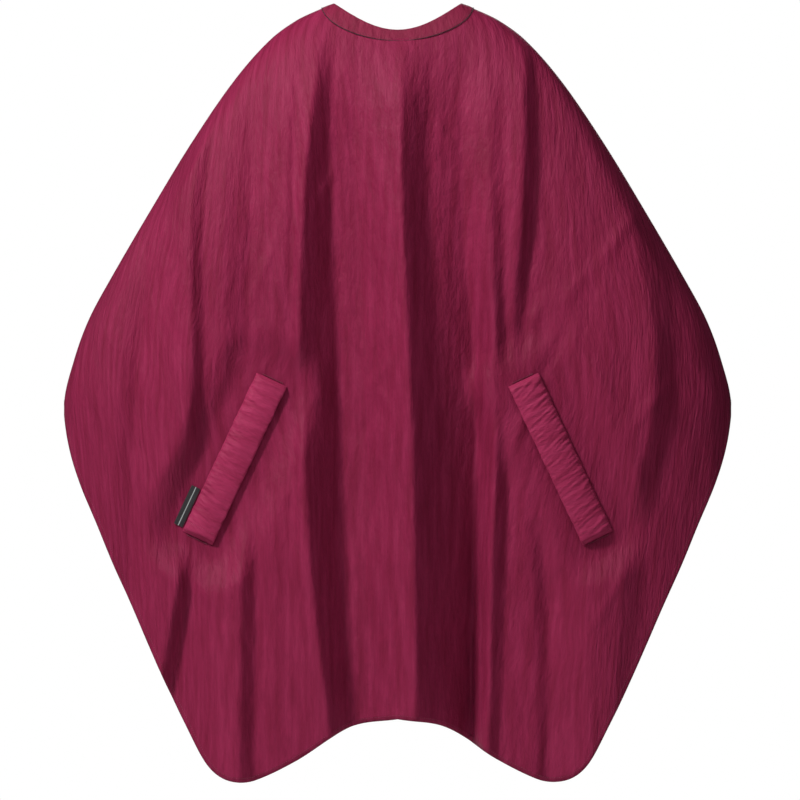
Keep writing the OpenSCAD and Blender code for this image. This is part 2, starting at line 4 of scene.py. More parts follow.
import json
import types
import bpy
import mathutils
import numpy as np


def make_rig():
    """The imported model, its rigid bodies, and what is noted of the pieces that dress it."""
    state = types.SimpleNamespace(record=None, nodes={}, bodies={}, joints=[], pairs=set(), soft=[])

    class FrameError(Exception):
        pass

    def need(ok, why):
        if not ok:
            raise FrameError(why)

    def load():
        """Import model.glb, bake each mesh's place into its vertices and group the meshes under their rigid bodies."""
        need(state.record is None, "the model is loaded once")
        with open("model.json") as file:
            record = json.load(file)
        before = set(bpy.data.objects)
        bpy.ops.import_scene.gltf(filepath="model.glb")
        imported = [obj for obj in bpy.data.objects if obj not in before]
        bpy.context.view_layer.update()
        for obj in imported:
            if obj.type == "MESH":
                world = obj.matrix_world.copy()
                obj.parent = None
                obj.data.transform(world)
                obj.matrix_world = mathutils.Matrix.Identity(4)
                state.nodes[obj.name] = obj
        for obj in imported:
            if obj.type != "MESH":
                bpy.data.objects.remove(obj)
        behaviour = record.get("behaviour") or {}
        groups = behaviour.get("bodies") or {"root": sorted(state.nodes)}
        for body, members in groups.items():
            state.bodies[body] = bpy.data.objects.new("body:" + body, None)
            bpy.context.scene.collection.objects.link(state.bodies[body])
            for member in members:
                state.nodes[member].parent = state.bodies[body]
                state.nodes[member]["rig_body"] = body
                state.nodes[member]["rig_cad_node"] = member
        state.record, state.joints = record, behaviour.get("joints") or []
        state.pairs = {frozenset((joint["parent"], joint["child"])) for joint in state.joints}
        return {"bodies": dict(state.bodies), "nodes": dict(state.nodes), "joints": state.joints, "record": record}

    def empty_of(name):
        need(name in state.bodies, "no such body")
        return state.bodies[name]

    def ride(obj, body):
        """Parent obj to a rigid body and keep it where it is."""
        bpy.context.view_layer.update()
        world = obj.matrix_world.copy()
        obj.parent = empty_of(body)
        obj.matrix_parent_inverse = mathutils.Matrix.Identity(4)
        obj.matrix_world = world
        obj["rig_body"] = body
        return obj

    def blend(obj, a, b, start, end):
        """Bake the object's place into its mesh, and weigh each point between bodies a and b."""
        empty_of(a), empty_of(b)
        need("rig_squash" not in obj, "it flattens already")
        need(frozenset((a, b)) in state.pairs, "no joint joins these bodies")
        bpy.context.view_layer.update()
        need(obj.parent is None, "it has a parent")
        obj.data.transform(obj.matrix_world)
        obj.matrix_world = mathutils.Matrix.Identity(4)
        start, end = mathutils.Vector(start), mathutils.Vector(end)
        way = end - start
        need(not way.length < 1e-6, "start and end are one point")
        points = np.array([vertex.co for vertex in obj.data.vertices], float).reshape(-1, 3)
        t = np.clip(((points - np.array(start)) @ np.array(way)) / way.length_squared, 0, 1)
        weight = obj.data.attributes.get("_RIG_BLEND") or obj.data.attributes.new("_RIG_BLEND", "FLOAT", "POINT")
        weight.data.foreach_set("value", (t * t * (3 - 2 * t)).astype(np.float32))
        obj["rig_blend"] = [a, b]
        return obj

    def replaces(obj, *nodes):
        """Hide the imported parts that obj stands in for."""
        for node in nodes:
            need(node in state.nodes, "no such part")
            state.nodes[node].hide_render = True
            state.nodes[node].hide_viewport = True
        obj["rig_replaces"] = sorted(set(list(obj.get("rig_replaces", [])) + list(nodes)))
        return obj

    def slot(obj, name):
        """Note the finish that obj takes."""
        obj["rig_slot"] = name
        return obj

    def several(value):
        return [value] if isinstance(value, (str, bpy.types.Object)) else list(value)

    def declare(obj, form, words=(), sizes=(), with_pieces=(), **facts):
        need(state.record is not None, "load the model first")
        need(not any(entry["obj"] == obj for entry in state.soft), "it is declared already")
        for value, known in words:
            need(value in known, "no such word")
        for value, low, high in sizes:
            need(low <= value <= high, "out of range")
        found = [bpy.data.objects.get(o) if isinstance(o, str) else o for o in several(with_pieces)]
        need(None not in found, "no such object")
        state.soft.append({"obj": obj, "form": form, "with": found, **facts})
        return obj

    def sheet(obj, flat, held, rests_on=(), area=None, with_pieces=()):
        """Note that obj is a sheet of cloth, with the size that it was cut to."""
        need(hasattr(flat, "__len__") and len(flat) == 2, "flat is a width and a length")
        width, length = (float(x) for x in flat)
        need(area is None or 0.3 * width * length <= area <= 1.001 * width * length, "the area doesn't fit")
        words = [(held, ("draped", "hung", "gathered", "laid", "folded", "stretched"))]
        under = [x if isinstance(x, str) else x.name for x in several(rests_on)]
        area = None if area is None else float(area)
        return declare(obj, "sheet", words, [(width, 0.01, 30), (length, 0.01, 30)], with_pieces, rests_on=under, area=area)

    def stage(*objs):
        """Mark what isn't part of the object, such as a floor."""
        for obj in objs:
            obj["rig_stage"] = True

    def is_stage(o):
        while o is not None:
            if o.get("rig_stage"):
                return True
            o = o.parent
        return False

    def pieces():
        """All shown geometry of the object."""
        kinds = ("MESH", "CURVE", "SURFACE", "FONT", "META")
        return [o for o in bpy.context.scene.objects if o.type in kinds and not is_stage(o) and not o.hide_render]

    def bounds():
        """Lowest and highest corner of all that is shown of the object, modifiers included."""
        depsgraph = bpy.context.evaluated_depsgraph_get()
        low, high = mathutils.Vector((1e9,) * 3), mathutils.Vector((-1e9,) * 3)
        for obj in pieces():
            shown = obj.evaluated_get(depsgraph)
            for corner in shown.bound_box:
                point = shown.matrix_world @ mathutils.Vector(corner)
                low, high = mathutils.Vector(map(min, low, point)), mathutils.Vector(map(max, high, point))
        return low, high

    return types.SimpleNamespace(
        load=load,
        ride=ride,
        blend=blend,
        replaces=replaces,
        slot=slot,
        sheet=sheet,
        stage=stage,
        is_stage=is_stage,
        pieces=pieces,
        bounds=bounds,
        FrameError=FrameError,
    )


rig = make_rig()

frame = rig.load()

import json
import logging
import math
from bisect import bisect_right
from dataclasses import dataclass, field
from enum import Enum
from typing import Callable, Optional, Sequence

import bmesh
import bpy
from mathutils import Matrix, Vector, noise

LOG = logging.getLogger("barber_cape")
MM = 0.001
CAD_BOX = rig.bounds()


class Side(Enum):
    """A side of the cape as seen from the front."""

    LEFT = -1
    RIGHT = 1

    @property
    def word(self) -> str:
        """The side's name in lower case."""
        return self.name.lower()


def mix(a: float, b: float, t: float) -> float:
    """The value t of the way from a to b."""
    return a + (b - a) * t


def ease(t: float) -> float:
    """A smooth step from 0 to 1."""
    u = min(1.0, max(0.0, t))
    return u * u * (3 - 2 * u)


class Profile:
    """A smooth curve through a few points."""

    def __init__(self, points: Sequence[tuple[float, float]]) -> None:
        """Keeps the points and works out a slope at each.

        Args:
            points: pairs of place and value, in rising order of place.
        """
        self.xs = [p[0] for p in points]
        self.ys = [p[1] for p in points]
        last = len(points) - 1
        self.slopes = [
            (self.ys[min(last, i + 1)] - self.ys[max(0, i - 1)])
            / (self.xs[min(last, i + 1)] - self.xs[max(0, i - 1)])
            for i in range(last + 1)
        ]

    def __call__(self, x: float) -> float:
        """The curve's value.

        Args:
            x: the place, held inside the curve's ends.

        Returns:
            The value there.
        """
        i = min(len(self.xs) - 2, max(0, bisect_right(self.xs, x) - 1))
        h = self.xs[i + 1] - self.xs[i]
        t = min(1.0, max(0.0, (x - self.xs[i]) / h))
        s = t * t * (3 - 2 * t)
        bend = self.slopes[i] * (t ** 3 - 2 * t * t + t) + self.slopes[i + 1] * (t ** 3 - t * t)
        return mix(self.ys[i], self.ys[i + 1], s) + h * bend


# ---- The hanging surface ----


@dataclass(frozen=True)
class FoldLine:
    """The crest or the valley of a hanging fold: where it runs and how high it stands, in
    millimetres, at each of the fold levels from the neck down."""

    xs: tuple[float, ...]
    heights: tuple[float, ...]


FOLD_LEVELS = (-0.084, -0.294, -0.564, -0.834, -1.104)
FOLD_LINES = (
    FoldLine((-560, -560, -560, -560, -560), (0, 0, 0, 0, 0)),
    FoldLine((-330, -395, -417, -420, -430), (0, 2, 6, 6, 4)),
    FoldLine((-300, -372, -390, -398, -410), (0, 0, 1, 3, 3)),
    FoldLine((-262, -309, -310, -326, -372), (3, 12, 19, 19, 16)),
    FoldLine((-248, -290, -291, -308, -352), (0, 4, 8, 5, 3)),
    FoldLine((-234, -262, -257, -237, -237), (1, 6, 11, 16, 17)),
    FoldLine((-216, -219, -223, -213, -212), (-1, 0, 3, 5, 5)),
    FoldLine((-164, -164, -184, -186, -180), (4, 7, 6, 8, 8)),
    FoldLine((-146, -156, -158, -160, -150), (2, 5, 6, 9, 9)),
    FoldLine((-120, -142, -146, -130, -95), (6, 11, 12, 15, 15)),
    FoldLine((-98, -104, -86, -84, -66), (-4, -12, -18, -16, -10)),
    FoldLine((-62, -64, -50, -47, -46), (-3, -11, -12, -10, -9)),
    FoldLine((9, 7, 17, 24, 27), (6, 13, 15, 15, 14)),
    FoldLine((50, 46, 60, 66, 68), (-4, -6, -7, -11, -14)),
    FoldLine((96, 100, 118, 114, 108), (-5, -12, -22, -32, -38)),
    FoldLine((142, 140, 148, 139, 130), (2, 2, 1, 0, -1)),
    FoldLine((156, 158, 165, 162, 150), (2, 0, -8, -9, -9)),
    FoldLine((189, 186, 174, 200, 205), (6, 7, -6, -5, -5)),
    FoldLine((202, 202, 191, 222, 223), (-1, -4, -9, -9, -9)),
    FoldLine((262, 265, 262, 284, 286), (2, 2, 3, 6, 6)),
    FoldLine((330, 352, 384, 340, 320), (4, 8, 13, 11, 8)),
    FoldLine((370, 392, 412, 372, 350), (1, 2, 4, 4, 4)),
    FoldLine((560, 560, 560, 560, 560), (0, 0, 0, 0, 0)),
)


class Folds:
    """The hanging folds of the front, as a surface between their crests and valleys."""

    def __init__(
        self, lines: Sequence[FoldLine], steps: int = 64, low: float = -1.22, rounding: float = 0.0024
    ) -> None:
        """Works out where each line is at a ladder of heights.

        Args:
            lines: the crests and valleys, from left to right.
            steps: how many heights are kept.
            low: the lowest height.
            rounding: how far the crests are rounded off to each side.
        """
        self.steps, self.low, self.rounding = steps, low, rounding
        curves = []
        for line in lines:
            levels = [-z for z in FOLD_LEVELS]
            curves.append((Profile(list(zip(levels, line.xs))), Profile(list(zip(levels, line.heights)))))
        self.rows = []
        for k in range(steps + 1):
            down = -low * k / steps
            self.rows.append(([MM * c(down) for c, _ in curves], [MM * h(down) for _, h in curves]))

    def sharp(self, x: float, z: float) -> float:
        """Height at a point, with sharp crests."""
        at = min(self.steps - 1e-6, max(0.0, z / self.low * self.steps))
        k = int(at)
        both = []
        for xs, hs in (self.rows[k], self.rows[k + 1]):
            i = min(len(xs) - 2, max(0, bisect_right(xs, x) - 1))
            share = min(1.0, max(0.0, (x - xs[i]) / (xs[i + 1] - xs[i])))
            both.append(mix(hs[i], hs[i + 1], share))
        return mix(both[0], both[1], at - k)

    def __call__(self, x: float, z: float) -> float:
        """Height at a point, with rounded crests.

        Args:
            x: distance from the middle.
            z: height.

        Returns:
            How far the folds stand forward.
        """
        r = self.rounding
        wide = self.sharp(x - 2 * r, z) + self.sharp(x + 2 * r, z)
        near = self.sharp(x - r, z) + self.sharp(x + r, z)
        return (wide + 2 * near + 2 * self.sharp(x, z)) / 8


@dataclass(frozen=True)
class Crease:
    """A short crease pressed into the cloth of the front."""

    x: float
    z: float
    lean: float
    length: float
    width: float
    height: float


@dataclass(frozen=True)
class CapeShape:
    """The hanging surface of the cape. A place runs round it: 0 is the middle of the front, 1 the
    outline, 2 the fold line of a back panel and 3 the edge of the back opening, and negative
    places are on the left. A drop is the distance below the neckline."""

    neck_width: float = 0.190
    throat_depth: float = 0.048
    nape_depth: float = 0.045
    throat_drop: float = 0.040
    nape_drop: float = 0.046
    band_width: float = 0.0165
    width: float = 1.000
    elbow_drop: float = 0.600
    lobe_drop: float = 1.164
    arch_drop: float = 1.070
    back_drop: float = 0.590
    back_gap: float = 0.010
    fold_top: tuple[float, float] = (0.070, 0.0304)
    fold_end: tuple[float, float] = (0.330, 0.110)
    fold_end_drop: float = 0.570
    nape_flare: float = 0.090
    shoulder_lie: float = 0.6
    front_round: float = 0.7
    fold_gain: float = 1.9
    crease_gain: float = 2.2
    crease_reach: float = 2.2
    arch_usual: float = 1.070
    back_hem_reach: float = 1.2
    flare_power: float = 1.2
    side_lean: float = 0.55
    welt_fade: float = 0.055
    fold_edge: float = 0.08
    fold_start: float = 0.12
    sway: float = 0.006
    back_fold_height: float = 0.007
    back_fold_start: float = 0.30
    taut_reach: float = 0.060
    welt_crinkle: float = 0.25
    arch_place: float = 0.31
    outline: Profile = Profile(
        [(0, 0), (0.01, 0.04), (0.04, 0.136), (0.09, 0.237), (0.19, 0.368), (0.34, 0.521),
         (0.49, 0.657), (0.69, 0.83), (0.79, 0.909), (0.89, 0.963), (1, 1), (2, 1.04)]
    )
    front_swell: Profile = Profile(
        [(0, 0), (0.040, 0.018), (0.120, 0.040), (0.400, 0.060), (1.200, 0.076)]
    )
    hem: Profile = Profile(
        [(0, 0.833), (8, 0.855), (17, 0.942), (24, 0.993), (27.5, 1), (31, 0.985), (34, 0.945),
         (38, 0.85), (50, 0.56), (57, 0.42), (63, 0.312), (70, 0.215), (76, 0.14), (80, 0.092),
         (84, 0.048), (90, 0)]
    )
    folds: Folds = Folds(FOLD_LINES)
    creases: tuple[Crease, ...] = (
        Crease(-0.030, -0.560, 38, 0.060, 0.006, 0.0016),
        Crease(-0.022, -0.590, -30, 0.050, 0.005, 0.0014),
        Crease(-0.040, -0.625, 35, 0.070, 0.006, -0.0015),
        Crease(-0.018, -0.660, 22, 0.060, 0.006, 0.0012),
        Crease(-0.060, -0.500, -18, 0.080, 0.007, 0.0012),
        Crease(0.205, -0.470, 32, 0.090, 0.008, 0.0014),
        Crease(0.235, -0.520, 28, 0.100, 0.008, -0.0014),
        Crease(0.260, -0.430, 40, 0.080, 0.007, 0.0012),
        Crease(0.330, -0.350, 35, 0.110, 0.009, 0.0014),
        Crease(0.300, -0.560, -35, 0.080, 0.008, 0.0012),
        Crease(0.380, -0.600, 40, 0.100, 0.009, 0.0014),
        Crease(0.180, -0.640, 18, 0.090, 0.008, 0.0014),
        Crease(-0.300, -0.860, -28, 0.090, 0.008, 0.0013),
        Crease(-0.240, -0.930, -35, 0.080, 0.008, -0.0012),
        Crease(-0.350, -0.700, 30, 0.080, 0.008, 0.0012),
        Crease(0.310, -0.900, 30, 0.100, 0.008, 0.0013),
        Crease(0.120, -0.950, -20, 0.080, 0.007, 0.0011),
        Crease(-0.110, -0.280, 25, 0.080, 0.007, 0.0012),
        Crease(0.070, -0.200, -30, 0.070, 0.007, 0.0012),
        Crease(-0.200, -0.400, 20, 0.090, 0.007, 0.0012),
    )
    welt_x: float = 0.243
    welt_z: float = -0.682
    welt_length: float = 0.261
    welt_width: float = 0.050
    welt_lean: float = math.radians(25.2)
    welt_clear: float = 0.016
    known: dict[float, float] = field(default_factory=dict, compare=False, repr=False)

    def half_width(self, drop: float) -> float:
        """Half width of the cape at a drop."""
        return mix(self.neck_width / 2, self.width / 2, self.outline(drop / self.elbow_drop))

    def front_depth(self, drop: float) -> float:
        """Depth of the middle of the front at a drop."""
        return self.throat_depth + self.front_swell(drop)

    def back_depth(self, drop: float) -> float:
        """Depth of the middle of the back at a drop."""
        return self.nape_depth + self.nape_flare * max(0.0, drop / self.fold_end_drop) ** self.flare_power

    def fold_line(self, drop: float) -> tuple[float, float]:
        """Where the fold line of the right back panel is at a drop, as x and y."""
        t = drop / self.fold_end_drop
        return mix(self.fold_top[0], self.fold_end[0], t), mix(self.fold_top[1], self.fold_end[1], t)

    def nape_height(self, x: float) -> float:
        """Height of the back neckline at a distance x from the middle."""
        return -self.nape_drop * math.cos(math.pi * x / self.neck_width)

    def side_xy(self, place: float, drop: float) -> tuple[float, float]:
        """A point between the outline and the fold line, on the right side.

        Args:
            place: from 1 to 2.
            drop: distance below the neckline.

        Returns:
            Its x and y.
        """
        wide = self.half_width(drop)
        lx, ly = self.fold_line(drop)
        reach = (wide - lx) / 3
        fall = 2 * (self.back_depth(drop) - ly) / lx
        v = place - 1
        w = 1 - v
        k0, k1, k2, k3 = w ** 3, 3 * w * w * v, 3 * w * v * v, v ** 3
        x = k0 * wide + k1 * wide + k2 * (lx + reach) + k3 * lx
        y = k1 * self.side_lean * ly + k2 * (ly - fall * reach) + k3 * ly
        return x, y

    def back_x(self, place: float, drop: float) -> float:
        """Distance from the middle of a point between the fold line and the back edge."""
        return mix(self.fold_line(drop)[0], self.back_gap / 2, place - 2)

    def back_y(self, x: float, drop: float) -> float:
        """Depth of the back at a distance x from the middle."""
        lx, ly = self.fold_line(drop)
        deep = self.back_depth(drop)
        return deep - (deep - ly) * (x / lx) ** 2

    def neck_height(self, place: float) -> float:
        """Height of the neckline at a place."""
        if place not in self.known:
            self.known[place] = self.find_neck_height(place)
        return self.known[place]

    def find_neck_height(self, place: float) -> float:
        """Works out the height of the neckline at a place."""
        p = abs(place)
        if p <= 1:
            return -self.throat_drop * math.cos(math.pi / 2 * math.sin(math.pi / 2 * p))
        if p <= 2:
            return self.nape_height(self.side_xy(p, 0)[0])
        return self.nape_height(self.back_x(p, 0))

    def hem_height(self, place: float) -> float:
        """Height of the hem at a place."""
        p = abs(place)
        if p > 1:
            return -mix(self.elbow_drop, self.back_drop, ease((p - 1) / self.back_hem_reach))
        low = -mix(self.elbow_drop, self.lobe_drop, self.hem(90 * p))
        return low * mix(self.arch_drop / self.arch_usual, 1, min(1.0, p / self.arch_place))

    def hem_drop(self, place: float) -> float:
        """Drop of the hem at a place."""
        return self.neck_height(place) - self.hem_height(place)

    def band_drop(self, place: float) -> float:
        """Drop of the neckband's lower edge at a place."""
        lie = 0.0 if abs(place) >= 2 else abs(math.sin(math.pi / 2 * place)) ** 4
        return self.band_width * (1 - self.shoulder_lie * lie)

    def welt_frame(self, x: float, z: float) -> tuple[float, float]:
        """Where a point of the front lies over a welt.

        Args:
            x: its distance from the middle, on either side.
            z: its height.

        Returns:
            Its place along the welt, downwards, and out from the welt's middle line.
        """
        u, w = abs(x) - self.welt_x, self.welt_z - z
        s, c = math.sin(self.welt_lean), math.cos(self.welt_lean)
        return u * s + w * c, u * c - w * s

    def off_welt(self, x: float, z: float) -> float:
        """0 over and close to a welt, growing to 1 away from it."""
        along, out = self.welt_frame(x, z)
        da = max(0.0, abs(along) - self.welt_length / 2)
        do = max(0.0, abs(out) - self.welt_width / 2)
        return ease((math.hypot(da, do) - self.welt_clear) / self.welt_fade)

    def fold(self, x: float, z: float, drop: float) -> float:
        """Height of the hanging folds of the front."""
        sway = self.sway * noise.noise(Vector((x / 0.20, 3.1, z / 0.30)))
        edge = ease((1 - abs(x) / self.half_width(drop)) / self.fold_edge)
        return self.fold_gain * self.folds(x + sway, z) * ease((drop + 0.01) / self.fold_start) * edge

    def back_fold(self, v: float, drop: float) -> float:
        """Height of the folds of a back panel."""
        waves = math.sin(3 * math.pi * v) * math.sin(math.pi * v)
        return self.back_fold_height * waves * ease(drop / self.back_fold_start)

    def crinkle(self, p: Vector) -> float:
        """Height of the fine wrinkles of the light cloth, long and nearly upright."""
        broad = noise.noise(Vector((p.x / 0.034, p.y / 0.060, p.z / 0.210)))
        fine = noise.noise(Vector((p.x / 0.0145 + 7, p.y / 0.030, p.z / 0.085)))
        cross = noise.noise(Vector(((p.x + 0.6 * p.z) / 0.022, p.y / 0.05 + 4, (p.z - 0.6 * p.x) / 0.090)))
        return 0.0014 * broad + 0.0008 * fine + 0.0009 * cross

    def crease(self, x: float, z: float) -> float:
        """Height of the pressed creases at a point of the front."""
        total = 0.0
        for k in self.creases:
            dx, dz = x - k.x, z - k.z
            if abs(dx) + abs(dz) > self.crease_reach * k.length:
                continue
            s, c = math.sin(math.radians(k.lean)), math.cos(math.radians(k.lean))
            along, across = dx * s + dz * c, dx * c - dz * s
            total += k.height * math.exp(-((across / k.width) ** 2) - (2 * along / k.length) ** 2)
        return self.crease_gain * total

    def bare(self, place: float, drop: float) -> Vector:
        """A point of the surface before its folds.

        Args:
            place: where round the cape.
            drop: how far below the neckline.

        Returns:
            The point.
        """
        p, sign = abs(place), math.copysign(1, place)
        z = self.neck_height(place) - drop
        if p <= 1:
            turn = math.pi / 2 * place
            deep = self.front_depth(drop) * max(0.0, math.cos(turn)) ** self.front_round
            return Vector((self.half_width(drop) * math.sin(turn), -deep, z))
        if p <= 2:
            x, y = self.side_xy(p, drop)
            return Vector((sign * x, y, z))
        x = self.back_x(p, drop)
        return Vector((sign * x, self.back_y(x, drop), z))

    def outward(self, place: float, drop: float) -> Vector:
        """The outward direction of the bare surface."""
        d = 0.004
        lo, hi = max(-3, place - d), min(3, place + d)
        across = self.bare(hi, drop) - self.bare(lo, drop)
        down = self.bare(place, drop + d) - self.bare(place, max(0, drop - d))
        return down.cross(across).normalized()

    def point(self, place: float, drop: float, rise: float = 0.0) -> Vector:
        """A point of the cloth, with its folds and wrinkles.

        Args:
            place: where round the cape.
            drop: how far below the neckline.
            rise: how far outside the cloth.

        Returns:
            The point.
        """
        p = self.bare(place, drop)
        out = self.outward(place, drop)
        high = 0.0
        if abs(place) <= 1:
            high = self.fold(p.x, p.z, drop) * self.off_welt(p.x, p.z)
            high += self.crease(p.x, p.z)
        elif abs(place) > 2:
            high = self.back_fold(abs(place) - 2, drop)
        taut = ease((drop - self.band_drop(place)) / self.taut_reach)
        near = mix(self.welt_crinkle, 1, self.off_welt(p.x, p.z)) if abs(place) <= 1 else 1.0
        high += self.crinkle(p) * taut * near
        forward = Vector((0, -1, 0)) if abs(place) <= 1 else out
        return p + forward * high + out * rise

    def find(self, x: float, z: float) -> tuple[float, float]:
        """The place and drop of a point of the front.

        Args:
            x: its distance from the middle.
            z: its height.

        Returns:
            The place and the drop.
        """
        drop, place = 0.6, 0.0
        for _ in range(6):
            place = math.asin(max(-1, min(1, x / self.half_width(drop)))) * 2 / math.pi
            drop = self.neck_height(place) - z
        return place, drop

    def over_front(self, side: Side, along: float, out: float, rise: float) -> Vector:
        """A point over the front, placed from the middle of a welt.

        Args:
            side: which welt.
            along: distance down along the welt.
            out: distance out from the welt's middle line.
            rise: distance in front of the bare cloth.

        Returns:
            The point.
        """
        s, c = math.sin(self.welt_lean), math.cos(self.welt_lean)
        x = side.value * (self.welt_x + along * s + out * c)
        z = self.welt_z - along * c + out * s
        p = self.bare(*self.find(x, z))
        return Vector((x, p.y - rise, z))


# ---- Finishes ----


Socket = bpy.types.NodeSocket
Colour = tuple[float, float, float]


class Nodes:
    """Builds one material's node tree."""

    def __init__(self, name: str) -> None:
        """Starts a material with one shader.

        Args:
            name: the material's name.
        """
        self.material = bpy.data.materials.new(name)
        self.material.use_nodes = True
        self.tree = self.material.node_tree
        self.tree.nodes.clear()
        self.shader = self.add("ShaderNodeBsdfPrincipled")
        out = self.add("ShaderNodeOutputMaterial")
        self.link(self.shader.outputs["BSDF"], out.inputs["Surface"])

    def add(self, kind: str, **values: object) -> bpy.types.Node:
        """A new node.

        Args:
            kind: its class.
            values: attributes to set on it.

        Returns:
            The node.
        """
        node = self.tree.nodes.new(kind)
        for key, value in values.items():
            setattr(node, key, value)
        return node

    def link(self, a: Socket, b: Socket) -> None:
        """Joins two sockets."""
        self.tree.links.new(a, b)

    def coordinates(self, uv: bool, scale: tuple[float, float, float], turn: float = 0.0) -> Socket:
        """Scaled coordinates on the piece.

        Args:
            uv: true for the piece's own map in metres, false for its object coordinates.
            scale: repeats a metre along each axis.
            turn: turn about the third axis, in degrees.

        Returns:
            The vector socket.
        """
        source = self.add("ShaderNodeTexCoord")
        mapping = self.add("ShaderNodeMapping")
        mapping.inputs["Scale"].default_value = scale
        mapping.inputs["Rotation"].default_value = (0, 0, math.radians(turn))
        self.link(source.outputs["UV" if uv else "Object"], mapping.inputs["Vector"])
        return mapping.outputs["Vector"]

    def grain(self, where: Socket, detail: float = 2, rough: float = 0.5) -> Socket:
        """Noise at some coordinates.

        Args:
            where: the coordinates.
            detail: octaves.
            rough: how strong the finer octaves are.

        Returns:
            The noise value.
        """
        node = self.add("ShaderNodeTexNoise")
        node.inputs["Scale"].default_value = 1
        node.inputs["Detail"].default_value = detail
        node.inputs["Roughness"].default_value = rough
        self.link(where, node.inputs["Vector"])
        return node.outputs["Fac"]

    def ramp(self, value: Socket, stops: Sequence[tuple[float, Sequence[float]]]) -> Socket:
        """A colour ramp.

        Args:
            value: what drives it.
            stops: pairs of place and colour.

        Returns:
            The colour.
        """
        node = self.add("ShaderNodeValToRGB")
        marks = node.color_ramp.elements
        while len(marks) < len(stops):
            marks.new(0.5)
        for mark, (place, colour) in zip(marks, stops):
            mark.position = place
            mark.color = (*colour, 1)
        self.link(value, node.inputs["Fac"])
        return node.outputs["Color"]

    def span(
        self, value: Socket, low: float, high: float, a: float = 0.3, b: float = 0.7
    ) -> Socket:
        """A value stretched from the range a..b to low..high."""
        node = self.add("ShaderNodeMapRange")
        for key, number in (("From Min", a), ("From Max", b), ("To Min", low), ("To Max", high)):
            node.inputs[key].default_value = number
        self.link(value, node.inputs["Value"])
        return node.outputs["Result"]

    def times(self, a: Socket, b: Socket) -> Socket:
        """The product of two values."""
        node = self.add("ShaderNodeMath", operation="MULTIPLY")
        self.link(a, node.inputs[0])
        self.link(b, node.inputs[1])
        return node.outputs["Value"]

    def shade(self, colour: Socket, value: Socket) -> Socket:
        """A colour made lighter or darker by a value about 1."""
        node = self.add("ShaderNodeVectorMath", operation="SCALE")
        self.link(colour, node.inputs[0])
        self.link(value, node.inputs["Scale"])
        return node.outputs["Vector"]

    def bump(self, heights: Sequence[tuple[Socket, float]]) -> None:
        """Adds bumps to the shader.

        Args:
            heights: pairs of height value and its depth in metres, from coarse to fine.
        """
        normal: Optional[Socket] = None
        for value, depth in heights:
            node = self.add("ShaderNodeBump")
            node.inputs["Strength"].default_value = 1
            node.inputs["Distance"].default_value = depth
            self.link(value, node.inputs["Height"])
            if normal is not None:
                self.link(normal, node.inputs["Normal"])
            normal = node.outputs["Normal"]
        if normal is not None:
            self.link(normal, self.shader.inputs["Normal"])


@dataclass(frozen=True)
class ClothFinish:
    """Light polyester with upright slubs, a fine weave and a soft sheen."""

    name: str
    dark: Colour
    plain: Colour
    light: Colour
    slub: float = 1.0

    def make(self) -> bpy.types.Material:
        """Builds the material.

        Returns:
            The material.
        """
        n = Nodes(self.name)
        slub = n.grain(n.coordinates(True, (430, 48, 1), 4), 3, 0.62)
        streak = n.grain(n.coordinates(True, (80, 9, 1), 3), 2)
        cloud = n.grain(n.coordinates(True, (5, 3.2, 1)), 2)
        colour = n.ramp(streak, [(0.30, self.dark), (0.52, self.plain), (0.74, self.light)])
        tone = n.times(n.span(slub, 1 - 0.10 * self.slub, 1 + 0.10 * self.slub), n.span(cloud, 0.94, 1.06))
        n.link(n.shade(colour, tone), n.shader.inputs["Base Color"])
        n.link(n.span(slub, 0.62, 0.47), n.shader.inputs["Roughness"])
        n.shader.inputs["Sheen Weight"].default_value = 0.02
        n.shader.inputs["Sheen Roughness"].default_value = 0.45
        n.shader.inputs["Sheen Tint"].default_value = (1.0, 0.35, 0.52, 1)
        n.shader.inputs["Specular IOR Level"].default_value = 0.08
        ripple = n.grain(n.coordinates(True, (88, 26, 1), 12), 3, 0.6)
        cross = n.grain(n.coordinates(True, (70, 38, 1), -24), 3, 0.6)
        weave = n.grain(n.coordinates(True, (2300, 900, 1)), 1)
        n.bump([(cross, 0.0024), (ripple, 0.0020), (slub, 0.00035), (weave, 0.00008)])
        return n.material


@dataclass(frozen=True)
class ThreadFinish:
    """Twisted sewing thread."""

    name: str
    dark: Colour
    light: Colour

    def make(self) -> bpy.types.Material:
        """Builds the material.

        Returns:
            The material.
        """
        n = Nodes(self.name)
        twist = n.add("ShaderNodeTexWave", wave_type="BANDS", bands_direction="DIAGONAL")
        twist.inputs["Scale"].default_value = 1
        twist.inputs["Distortion"].default_value = 1.5
        n.link(n.coordinates(False, (900, 900, 900)), twist.inputs["Vector"])
        colour = n.ramp(twist.outputs["Fac"], [(0.1, self.dark), (0.9, self.light)])
        n.link(colour, n.shader.inputs["Base Color"])
        n.shader.inputs["Roughness"].default_value = 0.45
        n.shader.inputs["Sheen Weight"].default_value = 0.15
        n.bump([(twist.outputs["Fac"], 0.0001)])
        return n.material


@dataclass(frozen=True)
class SnapFinish:
    """Moulded plastic with faint flow marks and small scuffs."""

    name: str
    plain: Colour
    light: Colour

    def make(self) -> bpy.types.Material:
        """Builds the material.

        Returns:
            The material.
        """
        n = Nodes(self.name)
        flow = n.grain(n.coordinates(False, (140, 140, 140)), 3)
        scuff = n.grain(n.coordinates(False, (900, 300, 900), 30), 4, 0.7)
        n.link(n.ramp(flow, [(0.35, self.plain), (0.7, self.light)]), n.shader.inputs["Base Color"])
        n.link(n.span(scuff, 0.24, 0.42), n.shader.inputs["Roughness"])
        n.shader.inputs["Coat Weight"].default_value = 0.2
        n.bump([(scuff, 0.00004)])
        return n.material


